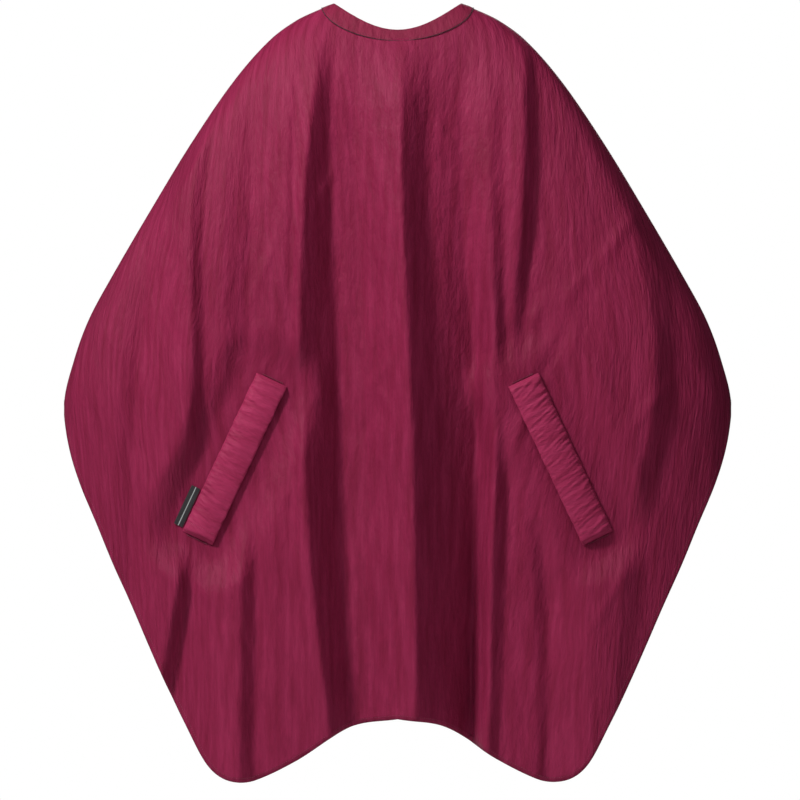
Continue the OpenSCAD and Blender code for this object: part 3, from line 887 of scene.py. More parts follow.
@dataclass(frozen=True)
class RibFinish:
    """Woven ribs: elastic, or a woven satin label with a plain pale line along it."""

    name: str
    dark: Colour
    light: Colour
    across: float
    along: float
    line: Optional[Colour] = None

    def make(self) -> bpy.types.Material:
        """Builds the material.

        Returns:
            The material.
        """
        n = Nodes(self.name)
        where = n.coordinates(True, (self.across, self.along, 1))
        rib = n.add("ShaderNodeTexWave", wave_type="BANDS", bands_direction="Y")
        rib.inputs["Scale"].default_value = 1
        n.link(where, rib.inputs["Vector"])
        colour = n.ramp(rib.outputs["Fac"], [(0.15, self.dark), (0.85, self.light)])
        if self.line is not None:
            stripe = n.add("ShaderNodeTexWave", wave_type="BANDS", bands_direction="X")
            stripe.inputs["Scale"].default_value = 1
            stripe.inputs["Phase Offset"].default_value = math.pi
            n.link(n.coordinates(True, (22, 22, 1)), stripe.inputs["Vector"])
            blend = n.add("ShaderNodeMix", data_type="RGBA")
            n.link(n.span(stripe.outputs["Fac"], 0, 1, 0.975, 0.985), blend.inputs["Factor"])
            n.link(colour, blend.inputs[6])
            blend.inputs[7].default_value = (*self.line, 1)
            colour = blend.outputs[2]
        n.link(colour, n.shader.inputs["Base Color"])
        n.link(n.span(rib.outputs["Fac"], 0.55, 0.40, 0, 1), n.shader.inputs["Roughness"])
        n.shader.inputs["Sheen Weight"].default_value = 0.1
        n.bump([(rib.outputs["Fac"], 0.0002)])
        return n.material


@dataclass(frozen=True)
class FeltFinish:
    """Pressed interfacing with loose fibres."""

    name: str
    colour: Colour

    def make(self) -> bpy.types.Material:
        """Builds the material.

        Returns:
            The material.
        """
        n = Nodes(self.name)
        fibre = n.grain(n.coordinates(False, (1500, 500, 700), 20), 4, 0.7)
        tinted = tuple(0.86 * c for c in self.colour)
        n.link(n.ramp(fibre, [(0.3, tinted), (0.7, self.colour)]), n.shader.inputs["Base Color"])
        n.shader.inputs["Roughness"].default_value = 0.9
        n.bump([(fibre, 0.0002)])
        return n.material


@dataclass(frozen=True)
class Palette:
    """Every material of the cape. The welts take a lighter copy of the cloth, which paints the light that they catch.
    """

    cloth: bpy.types.Material
    # gathered is the cape cloth made lighter for the welts: painted light, not another cloth
    gathered: bpy.types.Material
    band: bpy.types.Material
    thread: bpy.types.Material
    # seam is near-black thread in the seam under the band: painted shadow of the band's lower edge
    seam: bpy.types.Material
    snap: bpy.types.Material
    elastic: bpy.types.Material
    label: bpy.types.Material
    felt: bpy.types.Material

    @classmethod
    def build(cls) -> "Palette":
        """Builds the materials once."""
        return cls(
            cloth=ClothFinish(
                "cape_cloth", (0.172, 0.0100, 0.037), (0.206, 0.0132, 0.049), (0.246, 0.0185, 0.063)
            ).make(),
            # painted light: the cape's own cloth, lighter, for the raised welts
            gathered=ClothFinish(
                "gathered_cloth", (0.240, 0.017, 0.056), (0.290, 0.022, 0.073), (0.340, 0.030, 0.092)
            ).make(),
            band=ClothFinish(
                "band_cloth", (0.160, 0.012, 0.035), (0.190, 0.0145, 0.043), (0.220, 0.018, 0.052), 0.8
            ).make(),
            thread=ThreadFinish("seam_thread", (0.110, 0.008, 0.028), (0.230, 0.018, 0.060)).make(),
            # painted shadow: far darker than the seam thread, for the band's shadow line
            seam=ThreadFinish("dark_seam_thread", (0.020, 0.002, 0.006), (0.045, 0.004, 0.013)).make(),
            snap=SnapFinish("snap_plastic", (0.120, 0.008, 0.030), (0.160, 0.013, 0.042)).make(),
            elastic=RibFinish("ribbed_elastic", (0.55, 0.53, 0.50), (0.80, 0.78, 0.74), 300, 900).make(),
            label=RibFinish(
                "label_satin", (0.006, 0.006, 0.008), (0.020, 0.020, 0.024), 200, 2600, (0.42, 0.46, 0.45)
            ).make(),
            felt=FeltFinish("interfacing", (0.80, 0.80, 0.77)).make(),
        )


# ---- Making pieces ----


def grid(
    columns: int,
    rows: int,
    place: Callable[[float, float], Vector],
    outward: Vector,
    measure: Optional[Callable[[float, float], tuple[float, float]]] = None,
) -> bmesh.types.BMesh:
    """A sheet of faces laid on a surface, with a map in metres.

    Args:
        columns: faces across.
        rows: faces down.
        place: gives the point for a pair of shares, across and down.
        outward: the direction that the middle of the sheet faces.
        measure: gives the map's coordinates; by default the distance run across and down.

    Returns:
        The sheet.
    """
    bm = bmesh.new()
    bmesh.ops.create_grid(bm, x_segments=columns, y_segments=rows, size=0.5)
    keys = {}
    for v in bm.verts:
        keys[v] = (round((v.co.x + 0.5) * columns), round((v.co.y + 0.5) * rows))
    spots = {key: place(key[0] / columns, key[1] / rows) for key in keys.values()}
    across: dict[tuple[int, int], float] = {}
    for j in range(rows + 1):
        run = 0.0
        for i in range(columns + 1):
            if i:
                run += (spots[i, j] - spots[i - 1, j]).length
            across[i, j] = run
        middle = across[columns // 2, j]
        for i in range(columns + 1):
            across[i, j] -= middle
    down: dict[tuple[int, int], float] = {}
    for i in range(columns + 1):
        run = 0.0
        for j in range(rows + 1):
            if j:
                run += (spots[i, j] - spots[i, j - 1]).length
            down[i, j] = run
    layer = bm.loops.layers.uv.new("metres")
    for v, key in keys.items():
        v.co = spots[key]
    for face in bm.faces:
        face.smooth = True
        for loop in face.loops:
            i, j = keys[loop.vert]
            if measure is None:
                loop[layer].uv = (across[i, j], down[i, j])
            else:
                loop[layer].uv = measure(i / columns, j / rows)
    bm.normal_update()
    centre = min(bm.faces, key=lambda f: (f.calc_center_median() - spots[columns // 2, rows // 2]).length)
    if centre.normal.dot(outward) < 0:
        bmesh.ops.reverse_faces(bm, faces=bm.faces)
    return bm


def thread_stitch(bm: bmesh.types.BMesh, a: Vector, b: Vector, radius: float) -> None:
    """Adds one stitch of thread.

    Args:
        bm: the mesh it goes in.
        a: where it starts.
        b: where it ends.
        radius: half the thread's thickness.
    """
    run = b - a
    turn = run.to_track_quat("X", "Z").to_matrix().to_4x4()
    size = Matrix.Diagonal((run.length / 2, radius, radius, 1))
    bmesh.ops.create_uvsphere(
        bm, u_segments=6, v_segments=5, radius=1, matrix=Matrix.Translation((a + b) / 2) @ turn @ size
    )


@dataclass(frozen=True)
class Stitch:
    """One kind of stitch: its pitch, the cloth shown between two, and half the thread's thickness."""

    pitch: float
    gap: float
    radius: float


HEM_STITCH = Stitch(0.0036, 0.0010, 0.00027)
BAND_STITCH = Stitch(0.0030, 0.0008, 0.00024)
# thick stitches for the seam under the band, which with near-black thread paint the band's shadow
SEAM_SHADOW_STITCH = Stitch(0.0024, 0.0001, 0.00075)
TAB_STITCH = Stitch(0.0028, 0.0007, 0.00024)
WELT_STITCH = Stitch(0.0030, 0.0009, 0.00025)
FACING_STITCH = Stitch(0.0034, 0.0010, 0.00025)
STITCH_RISE = 0.00045
TURNED_DEPTH = -0.0008


def stitch_row(bm: bmesh.types.BMesh, route: Sequence[Vector], stitch: Stitch) -> None:
    """Adds a row of stitches along a route.

    Args:
        bm: the mesh they go in.
        route: close points along the row.
        stitch: the kind of stitch.
    """
    run = [0.0]
    for a, b in zip(route, route[1:]):
        run.append(run[-1] + (b - a).length)

    def at(distance: float) -> Vector:
        """The point of the route at a distance along it."""
        i = min(len(route) - 2, max(0, bisect_right(run, distance) - 1))
        share = (distance - run[i]) / max(1e-9, run[i + 1] - run[i])
        return route[i].lerp(route[i + 1], share)

    pitch, half_gap = stitch.pitch, stitch.gap / 2
    for k in range(int(run[-1] / pitch)):
        thread_stitch(bm, at(k * pitch + half_gap), at((k + 1) * pitch - half_gap), stitch.radius)


def stitch_path(
    bm: bmesh.types.BMesh,
    place: Callable[[float, float], Vector],
    corners: Sequence[tuple[float, float]],
    steps: int,
    stitch: Stitch,
) -> None:
    """Adds straight rows of stitches between corners on a piece.

    Args:
        bm: the mesh they go in.
        place: gives the point for a place on the piece.
        corners: the places that the rows run between.
        steps: points in each row.
        stitch: the kind of stitch.
    """
    for (a0, b0), (a1, b1) in zip(corners, corners[1:]):
        route = [place(mix(a0, a1, k / steps), mix(b0, b1, k / steps)) for k in range(steps + 1)]
        stitch_row(bm, route, stitch)


class Workshop:
    """Turns meshes into finished pieces that ride on the model's bodies."""

    def __init__(self, shape: CapeShape, palette: Palette) -> None:
        """Keeps what every piece needs.

        Args:
            shape: the hanging surface.
            palette: the materials.
        """
        self.shape = shape
        self.palette = palette
        self.joints = {j["child"]: j for j in frame["joints"]}

    def piece(
        self,
        name: str,
        bm: bmesh.types.BMesh,
        material: bpy.types.Material,
        slot: str,
        body: str,
        replaces: Sequence[str] = (),
        thickness: float = 0.0,
        rounding: float = 0.0,
        bends_from: Optional[str] = None,
        bend: tuple[float, float] = (0.0, 0.035),
    ) -> bpy.types.Object:
        """Finishes one piece.

        Args:
            name: its name.
            bm: its mesh, which is used up.
            material: its finish.
            slot: the record's material slot.
            body: the body it rides on.
            replaces: the plain solids it stands for.
            thickness: the cloth's thickness, for a sheet of faces.
            rounding: radius of its edges.
            bends_from: the body that holds its other end, for a piece that crosses a fold line.
            bend: where the bend starts and ends, out from the fold line.

        Returns:
            The piece.
        """
        mesh = bpy.data.meshes.new(name)
        bm.to_mesh(mesh)
        bm.free()
        mesh.materials.append(material)
        for face in mesh.polygons:
            face.use_smooth = True
        obj = bpy.data.objects.new(name, mesh)
        bpy.context.scene.collection.objects.link(obj)
        if thickness:
            solid = obj.modifiers.new("cloth", "SOLIDIFY")
            solid.thickness = thickness
            solid.offset = 0
        if rounding:
            bevel = obj.modifiers.new("rolled edge", "BEVEL")
            bevel.width = rounding
            bevel.segments = 3
            bevel.angle_limit = math.radians(50)
        if bends_from:
            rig.blend(obj, bends_from, body, *self.bend_span(body, bend))
        else:
            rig.ride(obj, body)
        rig.slot(obj, slot)
        if replaces:
            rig.replaces(obj, *replaces)
        LOG.info("%s: %d faces on %s", name, len(mesh.polygons), body)
        return obj

    def bend_span(self, body: str, bend: tuple[float, float]) -> tuple[Vector, Vector]:
        """Where a piece starts and ends its bend at a body's joint.

        Args:
            body: the body past the joint.
            bend: distances from the joint's axis, towards the middle of the back.

        Returns:
            The two points.
        """
        joint = self.joints[body]
        at, axis = Vector(joint["pos_m"]), Vector(joint["axis"]).normalized()
        inward = Vector((-math.copysign(1, at.x), 0, 0))
        if body == "tab":
            inward = Vector((1, 0, 0))
        inward = (inward - axis * inward.dot(axis)).normalized()
        return at + inward * bend[0], at + inward * bend[1]


# ---- The cape cloth ----


@dataclass
class CapeCloth:
    """The one large sheet, made as a body and two back panels that meet on the fold lines."""

    shop: Workshop
    thickness: float = 0.0007
    tuck: float = 0.003
    columns: int = 400
    side_columns: int = 10
    rows: int = 128
    crowding: float = 0.65
    back_columns: int = 56
    back_rows: int = 110
    slot_length: float = 0.210
    slot_width: float = 0.026
    front_nodes: tuple[str, ...] = (
        "cape_front", "left_slot_panel", "right_slot_panel", "left_side_panel", "right_side_panel",
    )
    flat_size: tuple[float, float] = (1.61, 1.17)
    back_flat_size: tuple[float, float] = (0.33, 0.62)
    flat_area: float = 1.235
    back_flat_area: float = 0.113
    pieces: list[bpy.types.Object] = field(default_factory=list)

    def column_place(self, share: float) -> float:
        """Place round the body sheet of a share of its columns."""
        total = self.columns + 2 * self.side_columns
        k = share * total
        if k <= self.side_columns:
            return -2 + k / self.side_columns
        if k >= self.side_columns + self.columns:
            return 1 + (k - self.side_columns - self.columns) / self.side_columns
        t = -1 + 2 * (k - self.side_columns) / self.columns
        return mix(t, math.asin(t) * 2 / math.pi, self.crowding)

    def on_cloth(self, place: float, share: float) -> Vector:
        """A point of the sheet at a share of the way from the neckband to the hem."""
        shape = self.shop.shape
        top = shape.band_drop(place) - self.tuck
        return shape.point(place, mix(top, shape.hem_drop(place), share ** 1.08))

    def across_welt(self, face: bmesh.types.BMFace) -> tuple[float, float]:
        """Where the middle of a face lies along and across the nearer welt."""
        middle = face.calc_center_median()
        return self.shop.shape.welt_frame(middle.x, middle.z)

    def open_slot(self, bm: bmesh.types.BMesh, faces: Sequence[bmesh.types.BMFace]) -> None:
        """Deletes the faces that lie over a hand slot.

        Args:
            bm: the mesh they are in.
            faces: the faces to look through.
        """
        hole = []
        for face in faces:
            along, out = self.across_welt(face)
            if abs(along) < self.slot_length / 2 and abs(out) < self.slot_width / 2:
                hole.append(face)
        bmesh.ops.delete(bm, geom=hole, context="FACES")

    def cut_slot(self, bm: bmesh.types.BMesh, side: Side) -> None:
        """Cuts the slanted slot under a welt.

        Args:
            bm: the body sheet.
            side: which slot.
        """
        shape = self.shop.shape
        reach = self.slot_length / 2 + 0.03
        near = [
            f for f in bm.faces
            if f.calc_center_median().x * side.value > 0
            and f.calc_center_median().y < 0
            and max(abs(k) for k in self.across_welt(f)) < reach
        ]
        s, c = math.sin(shape.welt_lean), math.cos(shape.welt_lean)
        along = Vector((side.value * s, 0, -c))
        out = Vector((side.value * c, 0, s))
        middle = Vector((side.value * shape.welt_x, 0, shape.welt_z))
        cuts = [(out, self.slot_width / 2), (-out, self.slot_width / 2)]
        cuts += [(along, self.slot_length / 2), (-along, self.slot_length / 2)]
        faces = near
        for direction, distance in cuts:
            geom = list({g for f in faces for g in (f, *f.edges, *f.verts)})
            made = bmesh.ops.bisect_plane(
                bm, geom=geom, dist=1e-6, plane_co=middle + direction * distance, plane_no=direction
            )
            faces = [g for g in made["geom"] if isinstance(g, bmesh.types.BMFace)]
        self.open_slot(bm, faces)

    def build(self) -> None:
        """Makes the three sheets."""
        total = self.columns + 2 * self.side_columns
        bm = grid(total, self.rows, lambda u, v: self.on_cloth(self.column_place(u), v), Vector((0, -1, 0)))
        for side in Side:
            self.cut_slot(bm, side)
        palette = self.shop.palette
        body = self.shop.piece(
            "cape_sheet", bm, palette.cloth, "cape_cloth", "root", self.front_nodes, self.thickness
        )
        self.pieces.append(body)
        for side in Side:
            def place(u: float, v: float, sign: int = side.value) -> Vector:
                """A point of this back panel."""
                return self.on_cloth(sign * (2 + u), v)

            bm = grid(self.back_columns, self.back_rows, place, Vector((0, 1, 0)))
            self.pieces.append(self.shop.piece(
                f"{side.word}_back_sheet", bm, palette.cloth, "cape_cloth", f"back_{side.word}",
                [f"{side.word}_back_panel"], self.thickness, bends_from="root",
            ))

    def declare(self, with_body: Sequence[bpy.types.Object]) -> None:
        """Says what each sheet was cut to.

        Args:
            with_body: the pieces sewn to the body sheet.
        """
        body, left, right = self.pieces
        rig.sheet(
            body, flat=self.flat_size, held="hung", rests_on=["neckband"], area=self.flat_area,
            with_pieces=with_body,
        )
        for piece, band in ((left, "left_nape_band"), (right, "right_nape_band")):
            size, area = self.back_flat_size, self.back_flat_area
            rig.sheet(piece, flat=size, held="hung", rests_on=[band], area=area)


@dataclass
class Hems:
    """The narrow turned hem round the lower edge, and the turned back edges."""

    shop: Workshop
    width: float = 0.008
    layer: float = 0.0006
    inset: float = 0.0062
    pieces: list[bpy.types.Object] = field(default_factory=list)

    def drop_inside(self, place: float, distance: float) -> float:
        """Drop of a point that lies a distance inside the hem, square to it."""
        shape = self.shop.shape
        d = 0.004
        lo, hi = place - d, place + d
        a = shape.bare(lo, shape.hem_drop(lo))
        b = shape.bare(hi, shape.hem_drop(hi))
        level = math.hypot(b.x - a.x, b.y - a.y)
        slant = math.hypot(1, (b.z - a.z) / max(1e-6, level))
        return shape.hem_drop(place) - distance * min(3.0, slant)

    def strip(self, first: float, last: float, columns: int, outward: Vector) -> bmesh.types.BMesh:
        """The turned layer behind the hem between two places."""
        shape = self.shop.shape

        def spot(u: float, v: float) -> Vector:
            """A point of the turned layer."""
            place = mix(first, last, u)
            top, low = self.drop_inside(place, self.width), shape.hem_drop(place) - 0.0002
            return shape.point(place, mix(top, low, v), TURNED_DEPTH)

        return grid(columns, 3, spot, outward)

    def stitches(self, first: float, last: float, steps: int) -> bmesh.types.BMesh:
        """The row of stitches that holds the hem, on the outer face."""
        shape = self.shop.shape
        bm = bmesh.new()
        places = [mix(first, last, k / steps) for k in range(steps + 1)]
        route = [shape.point(p, self.drop_inside(p, self.inset), STITCH_RISE) for p in places]
        stitch_row(bm, route, HEM_STITCH)
        return bm

    def back_edge(self, side: Side) -> tuple[bmesh.types.BMesh, bmesh.types.BMesh]:
        """The turned edge beside the back opening, and its stitches."""
        shape = self.shop.shape
        sign = side.value

        def spot(u: float, v: float) -> Vector:
            """A point of the turned edge."""
            drop = mix(shape.band_width, shape.hem_drop(3 * sign) - 0.0004, v)
            span = shape.back_x(2, drop) - shape.back_gap / 2
            return shape.point(sign * (3 - u * self.width / span), drop, TURNED_DEPTH)

        route = []
        for k in range(141):
            drop = mix(shape.band_width, shape.hem_drop(3) - 0.006, k / 140)
            span = shape.back_x(2, drop) - shape.back_gap / 2
            route.append(shape.point(sign * (3 - self.inset / span), drop, STITCH_RISE))
        rows = bmesh.new()
        stitch_row(rows, route, HEM_STITCH)
        return grid(3, 110, spot, Vector((0, 1, 0))), rows

    def build(self) -> None:
        """Makes the hem of each sheet."""
        palette = self.shop.palette
        cloth, thread = palette.cloth, palette.thread
        piece = self.shop.piece
        self.pieces.append(piece(
            "front_hem", self.strip(-1.995, 1.995, 420, Vector((0, -1, 0))), cloth, "cape_cloth", "root",
            thickness=self.layer,
        ))
        sewn = self.stitches(-1.99, 1.99, 700)
        self.pieces.append(piece("front_hem_stitches", sewn, thread, "thread", "root"))
        for side in Side:
            sign, body = side.value, f"back_{side.word}"
            lower = self.strip(sign * 2.0, sign * 2.995, 60, Vector((0, 1, 0)))
            piece(
                f"{side.word}_back_hem", lower, cloth, "cape_cloth", body, thickness=self.layer,
                bends_from="root",
            )
            rows = self.stitches(sign * 2.01, sign * 2.98, 120)
            piece(f"{side.word}_back_hem_stitches", rows, thread, "thread", body, bends_from="root")
            edge, rows = self.back_edge(side)
            piece(f"{side.word}_back_edge", edge, cloth, "cape_cloth", body, thickness=self.layer)
            piece(f"{side.word}_back_edge_stitches", rows, thread, "thread", body)


# ---- The neckband and its tab ----


@dataclass
class Neckband:
    """The folded strip round the neckline, with two rows of topstitching and small puckers."""

    shop: Workshop
    thickness: float = 0.0022
    rounding: float = 0.0008
    pucker: float = 0.00045
    pucker_pitch: float = 0.011
    edge_inset: float = 0.0022
    seam_share: float = 1.03
    seam_rise: float = 0.0011
    bend: tuple[float, float] = (0.0, 0.016)

    def on_band(self, place: float, share: float, rise: float = 0.0) -> Vector:
        """A point of the band at a share of its width."""
        shape = self.shop.shape
        drop = shape.band_drop(place) * share
        p = shape.bare(place, drop)
        wave = math.sin(2 * math.pi * (p.x + 0.7 * p.y) / self.pucker_pitch)
        uneven = 0.6 + 0.8 * noise.noise(Vector((p.x / 0.03, p.y / 0.03, 2.0)))
        height = self.pucker * wave * uneven * math.sin(math.pi * min(1, share)) ** 0.5
        return p + shape.outward(place, drop) * (rise + height)

    def stitches(self, first: float, last: float, steps: int) -> bmesh.types.BMesh:
        """Two rows of stitches, near the lower and the upper edge."""
        shape = self.shop.shape
        bm = bmesh.new()
        rise = self.thickness / 2 + 0.00012
        for low in (True, False):
            route = []
            for k in range(steps + 1):
                place = mix(first, last, k / steps)
                inset = self.edge_inset / shape.band_width
                route.append(self.on_band(place, 1 - inset if low else inset, rise))
            stitch_row(bm, route, BAND_STITCH)
        return bm

    def seam(self, first: float, last: float, steps: int) -> bmesh.types.BMesh:
        """The row of close, thick stitches in the seam under the band. The seam is real; the near-black thread paints
        the shadow line that the band casts on the cloth.
        """
        route = []
        for k in range(steps + 1):
            place = mix(first, last, k / steps)
            route.append(self.on_band(place, self.seam_share, self.seam_rise))
        bm = bmesh.new()
        stitch_row(bm, route, SEAM_SHADOW_STITCH)
        return bm

    def build(self) -> None:
        """Makes the band's three stretches."""
        palette = self.shop.palette
        spans = [("neckband", -2.0, 2.0, 260, "root", ["neckband_front"], Vector((0, -1, 0)))]
        for side in Side:
            spans.append((
                f"{side.word}_nape_band", side.value * 2.0, side.value * 3.0, 60, f"back_{side.word}",
                [f"neckband_{side.word}"], Vector((0, 1, 0)),
            ))
        for name, first, last, columns, body, nodes, facing in spans:
            bends = None if body == "root" else "root"
            bm = grid(columns, 6, lambda u, v: self.on_band(mix(first, last, u), v), facing)
            self.shop.piece(
                name, bm, palette.band, "band_cloth", body, nodes, self.thickness, self.rounding, bends,
                self.bend,
            )
            rows = self.stitches(mix(first, last, 0.004), mix(first, last, 0.97), 3 * columns)
            self.shop.piece(
                f"{name}_stitches", rows, palette.thread, "thread", body, bends_from=bends, bend=self.bend
            )
            # the seam row's near-black thread paints the band's shadow on the cloth below
            seam = self.seam(mix(first, last, 0.004), mix(first, last, 0.97), 3 * columns)
            self.shop.piece(
                f"{name}_seam", seam, palette.seam, "thread", body, bends_from=bends, bend=self.bend
            )


@dataclass
class NeckTab:
    """The tab that closes the nape. It is sewn to the left band and lies over the right one."""

    shop: Workshop
    thickness: float = 0.0022
    rounding: float = 0.0008
    sewn_x: float = -0.030
    hinge_x: float = -0.006
    end_x: float = 0.064
    sewn_rise: float = 0.0024
    closed_rise: float = 0.0063
    end_radius: float = 0.006
    inset: float = 0.0025

    def on_tab(self, x: float, share: float, rise: float = 0.0) -> Vector:
        """A point of the tab at a distance x from the middle and a share of its width."""
        shape = self.shop.shape
        drop = shape.band_width * share
        lift = mix(self.sewn_rise, self.closed_rise, ease((x - self.hinge_x) / 0.014))
        slope = (shape.back_y(abs(x) + 0.001, drop) - shape.back_y(abs(x), drop)) / 0.001
        out = Vector((-math.copysign(slope, x), 1, 0)).normalized()
        return Vector((x, shape.back_y(abs(x), drop), shape.nape_height(x) - drop)) + out * (lift + rise)

    def narrow(self, x: float) -> float:
        """How much of the tab's width is cut off each edge towards its rounded end."""
        past = x - (self.end_x - self.end_radius)
        if past <= 0:
            return 0.0
        r = self.end_radius
        return (r - math.sqrt(max(0.0, r * r - past * past))) / self.shop.shape.band_width

    def build(self) -> None:
        """Makes the tab, its box of stitches and its edge stitches."""
        palette = self.shop.palette

        def spot(u: float, v: float) -> Vector:
            """A point of the tab."""
            x = mix(self.sewn_x, self.end_x, 1 - (1 - u) ** 1.25)
            cut = self.narrow(x)
            return self.on_tab(x, mix(cut, 1 - cut, v))

        bend = (-0.004, 0.008)
        self.shop.piece(
            "nape_tab", grid(70, 8, spot, Vector((0, 1, 0))), palette.band, "band_cloth", "tab", ["neck_tab"],
            self.thickness, self.rounding, "back_left", bend,
        )
        rise = self.thickness / 2 + 0.00012
        margin = self.inset / self.shop.shape.band_width
        box = [(self.sewn_x + self.inset, margin), (self.hinge_x - self.inset, margin)]
        box += [(self.hinge_x - self.inset, 1 - margin), (self.sewn_x + self.inset, 1 - margin)]
        loop = [box[0], box[1], box[2], box[3], box[0], box[2], box[3], box[1]]
        bm = bmesh.new()

        def top(x: float, share: float) -> Vector:
            """A point on the tab's outer face."""
            return self.on_tab(x, share, rise)

        stitch_path(bm, top, loop, 20, TAB_STITCH)
        start, corner, end = self.hinge_x + 0.002, self.end_x - 0.006, self.end_x - self.inset
        edge = [(start, margin), (corner, margin), (end, 0.35)]
        edge += [(end, 0.65), (corner, 1 - margin), (start, 1 - margin)]
        stitch_path(bm, top, edge, 40, TAB_STITCH)
        self.shop.piece(
            "nape_tab_stitches", bm, palette.thread, "thread", "tab", bends_from="back_left", bend=bend
        )


# ---- The hand welts ----


@dataclass
class HandWelt:
    """A folded strip of cloth over a hand slot, gathered by the elastic inside it."""

    shop: Workshop
    side: Side
    seam_rise: float = 0.0015
    middle_rise: float = 0.0082
    free_rise: float = 0.0045
    layer_gap: float = 0.0026
    thickness: float = 0.0007
    columns: int = 260
    rows: int = 46
    gather: float = 0.0024

    def rise(self, out: float) -> float:
        """Height of the under layer over the cloth."""
        t = min(1.0, max(0.0, 0.5 - out / self.shop.shape.welt_width))
        flat = mix(self.seam_rise, self.free_rise, t)
        arch = self.middle_rise - mix(self.seam_rise, self.free_rise, 0.5)
        return flat + arch * max(0.0, math.sin(math.pi * t)) ** 0.8

    def gathers(self, along: float, out: float) -> float:
        """Height of the gathers on the top layer."""
        shape = self.shop.shape
        t = min(1.0, max(0.0, 0.5 - out / shape.welt_width))
        seed = 11.0 * self.side.value
        skew = along + 0.35 * out
        wide = noise.noise(Vector((skew / 0.0080, t * 1.1 + seed, 0.3)))
        fine = noise.noise(Vector((skew / 0.0048, t * 2.0 - seed, 1.7)))
        ridge = 1 - 2 * abs(wide)
        strong = mix(1.0, 0.45, ease(t / 0.85))
        return self.gather * strong * (0.75 * ridge + 0.45 * fine)

    def spot(self, u: float, v: float) -> Vector:
        """A point of the welt: u runs down it, v goes from the seam under, round and back on top."""
        shape = self.shop.shape
        half = shape.welt_width / 2
        along = mix(-0.5, 0.5, u) * shape.welt_length
        pinch = mix(0.28, 1, ease(min(u, 1 - u) / 0.022))
        sag = mix(0.30, 1, ease(min(u, 1 - u) / 0.028))
        r = self.layer_gap / 2
        if v < 0.42:
            out = mix(half, -half + 2 * r, v / 0.42)
            high = self.rise(out) * sag
        elif v < 0.52:
            turn = mix(-90, 90, (v - 0.42) / 0.10)
            out = -half + 2 * r - 1.6 * r * math.cos(math.radians(turn))
            base = self.rise(-half + 2 * r) * sag
            high = base + pinch * (r + r * math.sin(math.radians(turn)))
        else:
            out = mix(-half + 2 * r, half, (v - 0.52) / 0.48)
            shut = mix(0.4, 1, ease((half - out) / 0.006))
            high = self.rise(out) * sag + pinch * shut * self.layer_gap + pinch * self.gathers(along, out)
        wander = 0.0009 * noise.noise(Vector((along / 0.022, 5.0 * self.side.value, 0.0)))
        wander += 0.0005 * noise.noise(Vector((along / 0.008, 9.0 * self.side.value, 0.0)))
        return shape.over_front(self.side, along, out + wander * ease(abs(out) / half), high)

    def edge_stitches(self) -> bmesh.types.BMesh:
        """Topstitching along the seam and across both ends."""
        shape = self.shop.shape
        half = shape.welt_width / 2
        bm = bmesh.new()

        def top(along: float, out: float) -> Vector:
            """A point on the top layer."""
            v = 0.52 + 0.48 * (out + half - self.layer_gap) / (2 * half - self.layer_gap)
            p = self.spot(along / shape.welt_length + 0.5, v)
            p.y -= STITCH_RISE
            return p

        a = shape.welt_length / 2 - 0.0035
        b = shape.welt_length / 2 - 0.016
        runs = [((-a, half - 0.003), (a, half - 0.003)), ((a, half - 0.004), (a, -half + 0.005))]
        runs += [((-a, half - 0.004), (-a, -half + 0.005)), ((b, half - 0.004), (b, -half + 0.005))]
        for (a0, o0), (a1, o1) in runs:
            steps = max(20, int(math.hypot(a1 - a0, o1 - o0) / 0.002))
            stitch_path(bm, top, [(a0, o0), (a1, o1)], steps, WELT_STITCH)
        return bm

    def tacks(self) -> bmesh.types.BMesh:
        """A bar of close stitches past each end of the welt."""
        shape = self.shop.shape
        bm = bmesh.new()
        for end in (-1, 1):
            for k in range(22):
                out = mix(-0.32, 0.32, k / 21) * shape.welt_width
                lean = 0.0004 * (-1) ** k
                first, last = shape.welt_length / 2 + 0.0012, shape.welt_length / 2 + 0.0034
                near = shape.over_front(self.side, end * first, out - lean, 0.0014)
                far = shape.over_front(self.side, end * last, out + lean, 0.0014)
                thread_stitch(bm, near, far, 0.00038)
        return bm

    def build(self) -> list[bpy.types.Object]:
        """Makes the welt, its stitches and its tacks.

        Returns:
            The pieces that stay on the cape body.
        """
        palette, word = self.shop.palette, self.side.word
        body = f"welt_{word}"
        facing = Vector((0, 1, 0))
        bm = grid(self.columns, self.rows, self.spot, facing)
        top = max(bm.faces, key=lambda f: -f.calc_center_median().y)
        if top.normal.y > 0:
            bmesh.ops.reverse_faces(bm, faces=bm.faces)
        # the welt takes the lighter copy of the cloth, which paints light on it
        self.shop.piece(
            f"{word}_hand_welt", bm, palette.gathered, "cape_cloth", body, [f"{word}_welt"], self.thickness
        )
        self.shop.piece(f"{word}_welt_stitches", self.edge_stitches(), palette.thread, "thread", body)
        tacks = self.shop.piece(
            f"{word}_bar_tacks", self.tacks(), palette.thread, "thread", "root", [f"{word}_welt_tacks"]
        )
        return [tacks]


